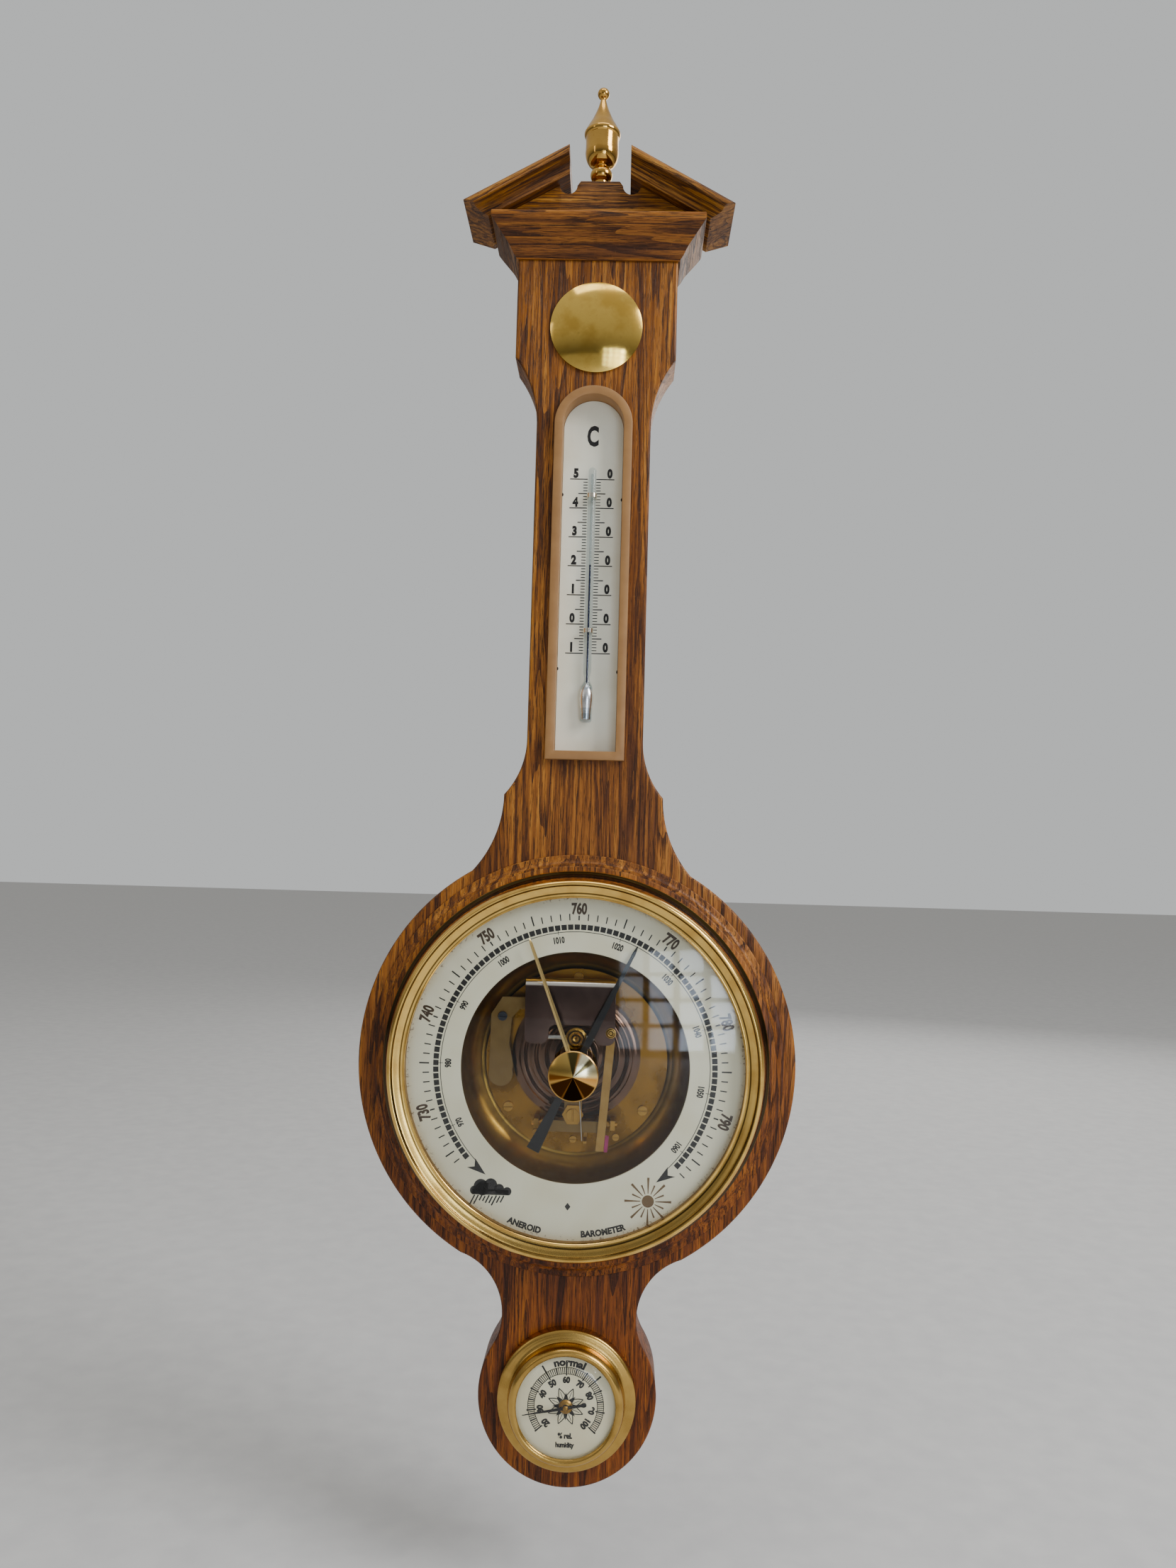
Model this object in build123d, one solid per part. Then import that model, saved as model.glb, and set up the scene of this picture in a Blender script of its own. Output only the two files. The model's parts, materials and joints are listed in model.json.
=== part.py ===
from build123d import *
import math
import os

# Wall weather station in oak: barometer, thermometer and hygrometer on one banjo-shaped board.
# Millimetres. X is to the right, +Z up, the wall is the plane Y = 0 and the front faces -Y.
# The origin is the centre of the keyhole in the hanger plate on the back.
# "out" is a distance in front of the wall, so Y = -out.

# Driving dimensions -------------------------------------------------------------------------
BOARD_THICK = 26.0
BARO_Z = -350.0                    # barometer centre, below the keyhole
HYG_Z = BARO_Z - 147.8             # hygrometer centre
DISC_R = 100.0                     # round middle of the case
LOBE_R = 40.1                      # round foot of the case
PANEL_HALF = 38.1                  # upper panel
WAIST_HALF = 27.0                  # shaft between the shoulders

CORNICE_LOW = BARO_Z + 377.3
CORNICE_TOP = BARO_Z + 395.6
CORNICE_REACH = 12.3               # how far the cornice stands off the board

RAKE_OUTER = (64.6, BARO_Z + 398.7)
RAKE_INNER = (14.2, BARO_Z + 426.9)
RAKE_THICK = 8.3
RAKE_DEPTH = 40.5
PLATFORM_HALF = 9.3
PLATFORM_Z = BARO_Z + 416.8

BEZEL_R = 87.7
LIP_R = 75.6
DIAL_HOLE_R = 51.2
DIAL_OUT = 38.0                    # front face of the barometer dial
GLASS_EDGE_OUT = 41.0
GLASS_RISE = 7.0
GLASS_THICK = 1.6
RING_TOP = 31.0                    # wooden ring under the bezel
PAN_HOLE_R = 60.5
PLATE_TOP = 18.2                   # front face of the movement's base plate
PRESSURE_ANGLE = 26.0              # pointers at rest, clockwise from straight up
SET_ANGLE = -20.9

THERMO_HALF = 18.4
THERMO_LOW = BARO_Z + 138.7
THERMO_TOP = BARO_Z + 315.7
THERMO_INNER_HALF = 14.3
TUBE_OUT = 22.5
TUBE_R = 1.9
BORE_R = 0.55
DEGREE = 1.393                     # length of one degree on the scale
ZERO_Z = BARO_Z + 203.7            # height of the zero line
READING = 20.0

HYG_BEZEL_R = 31.0
HYG_LIP_R = 21.9
HYG_DIAL_OUT = 36.0                # front face of the hygrometer dial
HYG_ANGLE = -101.0

RUNNING = 0.05                     # radial clearance of a shaft in its hole

parts = {}


# Small shape helpers ------------------------------------------------------------------------
def slab(sketch, low, high):
    """A front-view sketch (x, z) made solid between two distances from the wall."""
    return extrude(Plane.XZ.offset(low) * sketch, high - low)


def polygon(points):
    return make_face(Polyline(*points, close=True))


def mirrored(points):
    """A right-hand run of points followed by its left-hand mirror image."""
    return points + [(-x, z) for x, z in reversed(points) if abs(x) > 1e-6]


def box_between(x, out, z):
    """A block from (low, high) pairs."""
    sketch = Pos((x[0] + x[1]) / 2, (z[0] + z[1]) / 2) * Rectangle(x[1] - x[0], z[1] - z[0])
    return slab(sketch, out[0], out[1])


def disc(x, z, radius, low, high):
    return slab(Pos(x, z) * Circle(radius), low, high)


def turned(points, z, x=0.0):
    """A (radius, out) profile turned about a line square to the wall at (x, z)."""
    plane = Plane(origin=(x, 0, z), x_dir=(1, 0, 0), z_dir=(0, 0, -1))
    return revolve(plane * polygon(points), Axis((x, 0, z), (0, 1, 0)), 360)


def turned_upright(points, out, x=0.0):
    """A (radius, z) profile turned about an upright line."""
    plane = Plane(origin=(x, -out, 0), x_dir=(1, 0, 0), z_dir=(0, -1, 0))
    return revolve(plane * polygon(points), Axis((x, -out, 0), (0, 0, 1)), 360)


def rod_x(z, out, radius, x_low, x_high):
    """A rod that lies along X."""
    start = Plane(origin=(x_low, -out, z), x_dir=(0, 1, 0), z_dir=(1, 0, 0))
    return extrude(start * Circle(radius), x_high - x_low)


def arc_points(centre, radius, start, end, count):
    """Points on an arc, in degrees counter-clockwise from +x, both ends included."""
    turn = [math.radians(start + (end - start) * i / count) for i in range(count + 1)]
    return [(centre[0] + radius * math.cos(a), centre[1] + radius * math.sin(a)) for a in turn]


def turned_hand(outline, z, angle, low, high):
    """A hand drawn pointing up from (0, 0), turned clockwise and set at its dial's centre."""
    return slab(Pos(0, z) * (Rot(0, 0, -angle) * polygon(outline)), low, high)


def screw(x, z, head_r, head_low, head_high, shank_r, tip):
    """A slotted cheese-head screw whose head faces the front."""
    body = disc(x, z, head_r, head_low, head_high) + disc(x, z, shank_r, tip, head_low)
    slot_depth = 0.45 * (head_high - head_low)
    slot = box_between((x - head_r, x + head_r), (head_high - slot_depth, head_high + 1),
                       (z - 0.12 * head_r, z + 0.12 * head_r))
    return body - slot


# Case ---------------------------------------------------------------------------------------
def case_outline():
    """The banjo outline: panel, shoulders, disc, neck and foot, as tangent arcs."""
    panel_low = 330.0
    waist = (297.0, 148.0)
    skirt = (36.9, 122.0)
    disc_top = (50.5, math.sqrt(DISC_R**2 - 50.5**2))
    disc_low = (50.0, -math.sqrt(DISC_R**2 - 50.0**2))
    neck = (30.4, -113.5)
    hyg = HYG_Z - BARO_Z
    lobe = (34.5, hyg + math.sqrt(LOBE_R**2 - 34.5**2))
    top = CORNICE_TOP - BARO_Z
    right = [
        Line((0, top), (PANEL_HALF, top)),
        Line((PANEL_HALF, top), (PANEL_HALF, panel_low)),
        TangentArc((WAIST_HALF, waist[0]), (PANEL_HALF, panel_low), tangent=(0, 1)),
        Line((WAIST_HALF, waist[0]), (WAIST_HALF, waist[1])),
        TangentArc((WAIST_HALF, waist[1]), skirt, tangent=(0, -1)),
        TangentArc(skirt, disc_top, tangent=(0, -1)),
        ThreePointArc(disc_top, (DISC_R, 0), disc_low),
        TangentArc(neck, disc_low, tangent=(0, 1)),
        TangentArc(neck, lobe, tangent=(0, -1)),
        ThreePointArc(lobe, (LOBE_R, hyg), (0, hyg - LOBE_R)),
    ]
    half = make_face(right + [Line((0, hyg - LOBE_R), (0, top))])
    return Pos(0, BARO_Z) * (half + mirror(half, about=Plane.YZ))


def tray_outline(half, low, top):
    """An upright strip with a round top."""
    middle = top - half
    points = [(half, low)] + arc_points((0, middle), half, 0, 180, 24) + [(-half, low)]
    return polygon(points)


HANGER_HALF = 13.0
HANGER_Z = (-13.0, 21.0)
HANGER_THICK = 1.5
KEYHOLE_R = 4.5
KEY_SLOT = 4.2
KEY_SLOT_TOP = 10.0
POCKET_DEPTH = 8.5
HANGER_SCREWS = [(-9.5, 4.0), (9.5, 4.0)]
COVER_R = 66.0
COVER_THICK = 2.0
HYG_HOLE_R = 26.0
DOWELS = [-28.0, 28.0]
DOWEL_R = 3.0
DOWEL_SPAN = (CORNICE_TOP - 10.0, CORNICE_TOP + 7.0)
FINIAL_OUT = 13.0
LUG_ANGLES = [90.0, 210.0, 330.0]


def build_case():
    board = slab(case_outline(), 0, BOARD_THICK)
    board -= disc(0, BARO_Z, PAN_HOLE_R, -1, BOARD_THICK + 1)
    board -= disc(0, BARO_Z, COVER_R + 0.3, -1, COVER_THICK)
    board -= disc(0, HYG_Z, HYG_HOLE_R, 5.0, BOARD_THICK + 1)
    board -= slab(tray_outline(17.0, THERMO_LOW + 1.4, THERMO_TOP - 1.4), 16.0, BOARD_THICK + 1)
    board -= box_between((-HANGER_HALF, HANGER_HALF), (-1, HANGER_THICK), HANGER_Z)
    board -= box_between((-7.0, 7.0), (0, HANGER_THICK + POCKET_DEPTH), (-7.0, 15.0))
    for x, z in HANGER_SCREWS:
        board -= disc(x, z, 1.4, 0, 12.0)
    for x in DOWELS:
        board -= turned_upright([(0, DOWEL_SPAN[0]), (DOWEL_R, DOWEL_SPAN[0]),
                                 (DOWEL_R, CORNICE_TOP + 1), (0, CORNICE_TOP + 1)], 13.0, x)
    board -= disc(0, BARO_Z + 344.5, 1.2, 14.0, BOARD_THICK + 1)
    parts["case_board"] = board

    ring = turned([(PAN_HOLE_R + 18, BOARD_THICK), (94.9, BOARD_THICK), (94.9, 27.2), (94.2, 27.6),
                   (92.6, 28.0), (91.0, 29.0), (89.9, 30.3), (88.9, RING_TOP), (78.5, RING_TOP)], BARO_Z)
    for angle in LUG_ANGLES:
        x = 81.5 * math.cos(math.radians(angle))
        z = BARO_Z + 81.5 * math.sin(math.radians(angle))
        ring -= disc(x, z, 1.0, BOARD_THICK, RING_TOP + 1)
    parts["dial_ring"] = ring


def cornice_profile():
    """Reach off the board and height: a fillet over a shallow ogee."""
    low, top = CORNICE_LOW, CORNICE_TOP
    curve = [(1.0, low), (2.1, low + 2.0), (4.0, low + 5.2), (7.2, low + 9.1), (10.2, low + 12.6),
             (CORNICE_REACH, low + 15.4)]
    return [(0, low)] + curve + [(CORNICE_REACH, top), (0, top)]


def build_cornice():
    profile = cornice_profile()
    run = 60.0
    far = 16.0
    front_plane = Plane(origin=(-run, -BOARD_THICK, 0), x_dir=(0, -1, 0), z_dir=(-1, 0, 0))
    front = extrude(front_plane * polygon(profile), -2 * run)
    height = CORNICE_TOP - CORNICE_LOW + 4
    low = Plane.XY.offset(CORNICE_LOW - 2)
    mitre = [(-PANEL_HALF, -BOARD_THICK), (PANEL_HALF, -BOARD_THICK),
             (PANEL_HALF + far, -BOARD_THICK - far), (-PANEL_HALF - far, -BOARD_THICK - far)]
    parts["cornice_front"] = front & extrude(low * polygon(mitre), height)
    side = slab(polygon([(PANEL_HALF + reach, z) for reach, z in profile]), 0, BOARD_THICK + far)
    wedge = [(PANEL_HALF, 0), (PANEL_HALF + far, 0), (PANEL_HALF + far, -BOARD_THICK - far),
             (PANEL_HALF, -BOARD_THICK)]
    right = side & extrude(low * polygon(wedge), height)
    parts["cornice_return_right"] = right
    parts["cornice_return_left"] = right.mirror(Plane.YZ)


def slope_z(x, drop):
    """Height of the roof line at x, a distance drop below its outer face (square to it)."""
    rise = RAKE_INNER[1] - RAKE_OUTER[1]
    run = RAKE_OUTER[0] - RAKE_INNER[0]
    upright = drop * math.hypot(rise, run) / run
    return RAKE_INNER[1] - (x - RAKE_INNER[0]) * rise / run - upright


def build_pediment():
    base_half = 50.4
    scoop = arc_points((15.1, BARO_Z + 414.6), 4.2, -5, -165, 8)
    right = [(base_half, CORNICE_TOP), (base_half, slope_z(base_half, RAKE_THICK))]
    right += [(19.9, slope_z(19.9, RAKE_THICK))] + scoop + [(PLATFORM_HALF, PLATFORM_Z)]
    block = slab(polygon(mirrored(right)), 0, BOARD_THICK)
    for x in DOWELS:
        block -= turned_upright([(0, CORNICE_TOP - 1), (DOWEL_R, CORNICE_TOP - 1),
                                 (DOWEL_R, DOWEL_SPAN[1]), (0, DOWEL_SPAN[1])], 13.0, x)
    block -= turned_upright([(0, PLATFORM_Z - 12), (1.5, PLATFORM_Z - 12), (1.5, PLATFORM_Z + 1),
                             (0, PLATFORM_Z + 1)], FINIAL_OUT)
    parts["tympanum"] = block

    dowels = [turned_upright([(0, DOWEL_SPAN[0]), (DOWEL_R, DOWEL_SPAN[0]), (DOWEL_R, DOWEL_SPAN[1]),
                              (0, DOWEL_SPAN[1])], 13.0, x) for x in DOWELS]
    parts["tympanum_dowels"] = Compound(children=dowels)

    # Rake moulding: a flat back and top, a rounded nose and a cove that falls back to the underside.
    dx = RAKE_INNER[0] - RAKE_OUTER[0]
    dz = RAKE_INNER[1] - RAKE_OUTER[1]
    length = math.hypot(dx, dz)
    along = (dx / length, 0, dz / length)
    down = (-dz / length, 0, dx / length)
    nose_r = 2.0
    nose = arc_points((nose_r, RAKE_DEPTH - nose_r), nose_r, 180, 90, 5)
    nose += arc_points((nose_r + 0.4, RAKE_DEPTH - 1.3), 1.3, 80, 0, 3)
    cove = [(4.1, 36.4), (5.0, 34.0), (6.5, 32.2), (RAKE_THICK, 31.2)]
    section = [(0, 0)] + nose + cove + [(RAKE_THICK, 0)]
    plane = Plane(origin=(RAKE_OUTER[0] - 20 * along[0], 0, RAKE_OUTER[1] - 20 * along[2]),
                  x_dir=down, z_dir=along)
    bar = extrude(plane * polygon(section), length + 40)
    inner_x = 14.4
    cut_x, cut_z, cut_slope = 52.7, BARO_Z + 396.0, 0.2966
    far_x = 80.0
    low_ends = [(x, cut_z + (x - cut_x) * cut_slope) for x in (inner_x, far_x)]
    keep = polygon(low_ends + [(far_x, BARO_Z + 440), (inner_x, BARO_Z + 440)])
    right = bar & slab(keep, -1, RAKE_DEPTH + 1)
    parts["rake_moulding_right"] = right
    parts["rake_moulding_left"] = right.mirror(Plane.YZ)


def build_finial():
    z = PLATFORM_Z
    ball_z = BARO_Z + 468.4
    ball_r = 2.9
    profile = [(0, z), (3.3, z), (3.3, z + 6.4), (4.3, z + 7.2), (5.1, z + 8.5), (5.4, z + 10.2),
               (5.0, z + 11.8), (4.1, z + 12.9), (3.65, z + 13.8), (4.3, z + 14.4), (5.9, z + 15.3),
               (7.1, z + 16.9), (7.9, z + 19.2), (8.15, z + 21.0), (8.15, z + 29.2), (8.7, z + 30.0),
               (8.8, z + 31.0), (8.5, z + 32.4), (7.4, z + 34.4), (5.6, z + 37.2), (4.0, z + 40.6),
               (2.4, z + 44.6), (1.25, z + 48.6)]
    profile += arc_points((0, ball_z), ball_r, -64, 90, 12)
    finial = turned_upright(profile, FINIAL_OUT)
    spigot = turned_upright([(0, z - 11), (1.5, z - 11), (1.5, z + 4), (0, z + 4)], FINIAL_OUT)
    parts["finial"] = finial + spigot


def build_boss():
    z = BARO_Z + 344.5
    radius, rise, wall = 21.85, 4.2, 1.0
    sphere = (radius**2 + rise**2) / (2 * rise)
    steps = 12
    outer = []
    inner = []
    for i in range(steps + 1):
        r = radius * (1 - i / steps)
        lift = math.sqrt(sphere**2 - r**2) - (sphere - rise)
        outer.append((r, BOARD_THICK + 1.0 + lift))
        inner.append((r * 0.95, BOARD_THICK + 1.0 - wall + lift))
    profile = [(radius * 0.95, BOARD_THICK), (radius, BOARD_THICK)] + outer + inner[::-1]
    parts["boss_dome"] = turned(profile, z)
    parts["boss_pin"] = disc(0, z, 1.2, 14.5, BOARD_THICK + 3.0 + 1.0)


def build_back():
    plate = box_between((-HANGER_HALF, HANGER_HALF), (0, HANGER_THICK), HANGER_Z)
    plate -= disc(0, 0, KEYHOLE_R, -1, HANGER_THICK + 1)
    plate -= box_between((-KEY_SLOT / 2, KEY_SLOT / 2), (-1, HANGER_THICK + 1), (0, KEY_SLOT_TOP))
    plate -= disc(0, KEY_SLOT_TOP, KEY_SLOT / 2, -1, HANGER_THICK + 1)
    screws = []
    for x, z in HANGER_SCREWS:
        plate -= turned([(0, -1), (2.6, -1), (2.6, 0), (1.4, HANGER_THICK), (1.4, HANGER_THICK + 1),
                         (0, HANGER_THICK + 1)], z, x)
        body = turned([(0, 0.05), (2.55, 0.05), (1.4, HANGER_THICK - 0.1), (1.4, 10.0), (0, 12.0)], z, x)
        screws.append(body - box_between((x - 3, x + 3), (-1, 0.6), (z - 0.3, z + 0.3)))
    parts["hanger_plate"] = plate
    cover = disc(0, BARO_Z, COVER_R, 0.2, COVER_THICK)
    for angle in (45, 135, 225, 315):
        x = 63.0 * math.cos(math.radians(angle))
        z = BARO_Z + 63.0 * math.sin(math.radians(angle))
        cover -= disc(x, z, 1.3, 0, 3)
        parts["case_board"] -= disc(x, z, 1.2, COVER_THICK - 0.1, 9.0)
        screws.append(turned([(0, 0.0), (1.2, 0.0), (1.2, 9.0), (0, 9.0)], z, x))
    parts["back_cover"] = cover
    return screws


# Thermometer --------------------------------------------------------------------------------
def build_thermometer():
    """A moulded tray let into the board, a printed plate on its floor and a glass tube on clips."""
    flange = slab(tray_outline(THERMO_HALF, THERMO_LOW, THERMO_TOP), BOARD_THICK, BOARD_THICK + 3.0)
    flange = fillet(flange.faces().sort_by(Axis.Y)[0].edges(), 0.5)
    wall = 2.4
    body = slab(tray_outline(THERMO_INNER_HALF + wall, THERMO_LOW + 1.7, THERMO_TOP - 1.7), 17.0, BOARD_THICK)
    floor = slab(tray_outline(THERMO_INNER_HALF, THERMO_LOW + 4.1, THERMO_TOP - 4.1), 18.8, BOARD_THICK + 4)
    parts["thermometer_frame"] = flange + body - floor
    plate = slab(tray_outline(THERMO_INNER_HALF - 0.1, THERMO_LOW + 4.2, THERMO_TOP - 4.2), 18.8, 19.8)

    bulb_low = BARO_Z + 156.6
    bulb_top = BARO_Z + 173.5
    neck = BARO_Z + 178.0
    tip = BARO_Z + 278.2
    bulb_r = 2.6
    top = tip - TUBE_R
    outer = [(0, bulb_low)] + arc_points((bulb_r - 1.3, bulb_low + 1.3), 1.3, -90, 0, 4)
    outer += [(bulb_r, bulb_top), (2.3, bulb_top + 2.2), (TUBE_R, neck)]
    outer += arc_points((0, top), TUBE_R, 0, 90, 6)
    bore_top = top - 1.0
    inner = [(0, bulb_low + 0.9), (2.0, bulb_low + 0.9), (2.0, bulb_top), (BORE_R, bulb_top + 2.0),
             (BORE_R, bore_top), (0, bore_top)]
    parts["thermometer_tube"] = turned_upright(outer, TUBE_OUT) - turned_upright(inner, TUBE_OUT)
    column_r = BORE_R - RUNNING
    fill = [(0, bulb_low + 0.95), (1.95, bulb_low + 0.95), (1.95, bulb_top - 0.05),
            (column_r, bulb_top + 1.9), (0, bulb_top + 1.9)]
    parts["mercury_reservoir"] = turned_upright(fill, TUBE_OUT)
    level = ZERO_Z + READING * DEGREE
    cap = 0.8
    parts["mercury_thread"] = turned_upright([(0, bulb_top + 2.0), (column_r, bulb_top + 2.0),
                                              (column_r, level - cap), (0, level - cap)], TUBE_OUT)
    parts["mercury_meniscus"] = turned_upright([(0, level - cap + 0.05), (column_r, level - cap + 0.05),
                                                (column_r, level - 0.35), (0.3, level - 0.1), (0, level)],
                                               TUBE_OUT)
    clips = []
    for z in (BARO_Z + 264.5, BARO_Z + 200.0):
        plane = Plane(origin=(0, -TUBE_OUT, z - 1.0), x_dir=(1, 0, 0), z_dir=(0, 0, 1))
        band = extrude(plane * (Circle(TUBE_R + 0.5) - Circle(TUBE_R + 0.02)), 2.0)
        band -= box_between((-4, 4), (0, TUBE_OUT - 1.0), (z - 3, z + 3))
        legs = [box_between((sign * 2.15 - 0.25, sign * 2.15 + 0.25), (17.5, TUBE_OUT), (z - 1, z + 1))
                for sign in (-1, 1)]
        clips.append(band + legs[0] + legs[1])
        for sign in (-1, 1):
            cut = box_between((sign * 2.15 - 0.3, sign * 2.15 + 0.3), (15, 20), (z - 1.1, z + 1.1))
            plate -= cut
            parts["thermometer_frame"] -= cut
            groove = box_between((sign * 2.15 - 0.4, sign * 2.15 + 0.4), (15.2, 16.1), (z - 2, z + 2))
            parts["case_board"] -= groove
    parts["thermometer_plate"] = plate
    parts["tube_clips"] = Compound(children=clips)


# Barometer case -----------------------------------------------------------------------------
def glass_lift(radius, edge_radius, rise):
    """Height of a shallow spherical dome above its edge."""
    sphere = (edge_radius**2 + rise**2) / (2 * rise)
    return math.sqrt(sphere**2 - radius**2) - (sphere - rise)


def build_barometer_case():
    bezel = [(BEZEL_R, RING_TOP), (BEZEL_R, 32.0), (87.2, 33.0), (86.2, 33.9), (85.3, 35.5), (84.8, 38.0),
             (84.4, 41.0), (83.7, 43.6), (82.9, 44.9), (82.2, 45.2), (81.5, 44.9), (81.0, 44.2)]
    bezel += [(79.0, 43.8), (77.2, 43.3), (76.2, 43.2), (LIP_R, 43.5), (LIP_R, 42.7), (76.9, 42.4)]
    bezel += [(80.6, 43.2), (82.2, 44.2), (83.2, 43.0), (83.6, 41.0), (84.0, 38.0), (84.5, 35.0),
              (85.6, 33.1), (86.6, 32.2), (86.8, RING_TOP)]
    parts["barometer_bezel"] = turned(bezel, BARO_Z)

    pan = [(0, 12.8), (44.2, 12.8)]
    pan += [(48.5, 15.6), (51.6, 20.0), (53.4, 26.0), (54.2, 32.0), (54.4, 36.5)]
    pan += [(77.0, 36.5), (77.0, 37.2)]
    pan += [(53.8, 37.2), (53.6, 32.0), (52.8, 26.2), (51.1, 20.4), (48.1, 16.1), (44.0, 13.5), (0, 13.5)]
    parts["barometer_pan"] = turned(pan, BARO_Z)
    dial = [(DIAL_HOLE_R, 37.2), (76.8, 37.2), (76.8, DIAL_OUT), (DIAL_HOLE_R, DIAL_OUT)]
    parts["dial_plate"] = turned(dial, BARO_Z)
    parts["glass_spacer"] = turned([(75.9, DIAL_OUT), (77.0, DIAL_OUT), (77.0, GLASS_EDGE_OUT),
                                    (75.9, GLASS_EDGE_OUT)], BARO_Z)

    edge_r = 76.6
    hole_r = 2.6
    steps = 20
    low = []
    for i in range(steps + 1):
        r = hole_r + (edge_r - hole_r) * i / steps
        low.append((r, GLASS_EDGE_OUT + glass_lift(r, edge_r, GLASS_RISE)))
    high = [(r, out + GLASS_THICK - 0.25 * r / edge_r) for r, out in low]
    parts["barometer_glass"] = turned(low + high[::-1], BARO_Z)

    centre_out = GLASS_EDGE_OUT + glass_lift(hole_r, edge_r, GLASS_RISE)
    bush = [(1.5 + RUNNING, centre_out - 0.9), (4.2, centre_out - 0.9), (4.2, centre_out - 0.1),
            (2.55, centre_out - 0.1), (2.55, centre_out + GLASS_THICK + 0.1),
            (3.6, centre_out + GLASS_THICK + 0.1), (3.6, centre_out + GLASS_THICK + 0.9),
            (1.5 + RUNNING, centre_out + GLASS_THICK + 0.9)]
    parts["glass_bush"] = turned(bush, BARO_Z)

    lugs = []
    screws = []
    for angle in LUG_ANGLES:
        lug = box_between((76.0, 84.0), (RING_TOP, RING_TOP + 0.8), (BARO_Z - 4, BARO_Z + 4))
        lug += box_between((76.0, 76.8), (RING_TOP, 36.5), (BARO_Z - 4, BARO_Z + 4))
        lug -= disc(81.5, BARO_Z, 1.0, RING_TOP - 1, RING_TOP + 2)
        fastener = screw(81.5, BARO_Z, 1.9, RING_TOP + 0.8, RING_TOP + 2.0, 1.0, BOARD_THICK + 0.5)
        about = Axis((0, 0, BARO_Z), (0, -1, 0))
        lugs.append(lug.rotate(about, angle))
        screws.append(fastener.rotate(about, angle))
    parts["pan_lugs"] = Compound(children=lugs)
    return screws


# Barometer movement -------------------------------------------------------------------------
ROCKER_Z = BARO_Z - 27.5
ROCKER_OUT = 25.0
SPRING_PIVOT = (BARO_Z + 34.6, 30.0)       # height and distance from the wall of the spring's fold
CAPSULE_Z = BARO_Z + 3.0
CHAIN_OUT = 33.6
HUB_Z = BARO_Z + 12.3


def build_movement_base():
    plate = disc(0, BARO_Z, 42.0, 17.0, PLATE_TOP)
    places = [(-31.0, -22.0), (31.0, -22.0), (0.0, 38.0)]
    pillars = []
    screws = []
    for x, z in places:
        pillars.append(disc(x, BARO_Z + z, 3.0, 13.5, 17.0) - disc(x, BARO_Z + z, 1.2, 13, 18))
        plate -= disc(x, BARO_Z + z, 1.2, 16, PLATE_TOP + 1)
        screws.append(screw(x, BARO_Z + z, 2.2, PLATE_TOP, PLATE_TOP + 1.2, 1.2, 13.6))
    small = [(-0.7, -36.0), (-18.0, -33.5), (19.0, -34.5)]
    for x, z in small:
        plate -= disc(x, BARO_Z + z, 0.8, 16, PLATE_TOP + 1)
        screws.append(screw(x, BARO_Z + z, 1.6, PLATE_TOP, PLATE_TOP + 0.9, 0.8, 17.1))
    parts["base_plate"] = plate
    parts["movement_pillars"] = Compound(children=pillars)
    parts["movement_screws"] = Compound(children=screws)


def build_capsule():
    """A sealed corrugated box: each wall ripples as a cosine of the radius."""
    radius, middle, half = 29.5, 21.4, 1.9
    waves, depth = 4.5, 0.45
    steps = 54
    top = []
    for i in range(steps + 1):
        r = 5.0 + (27.0 - 5.0) * i / steps
        top.append((r, middle + half + depth * math.cos(2 * math.pi * waves * i / steps)))
    bottom = [(r, 2 * middle - out) for r, out in top]
    rim = [(28.2, middle + 1.2), (radius, middle + 0.6), (radius, middle - 0.6), (28.2, middle - 1.2)]
    profile = [(0, middle + half + depth)] + top + rim + bottom[::-1] + [(0, middle - half - depth)]
    foot = disc(0, CAPSULE_Z, 4.0, PLATE_TOP, middle)
    parts["aneroid_capsule"] = turned(profile, CAPSULE_Z) + foot


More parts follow.
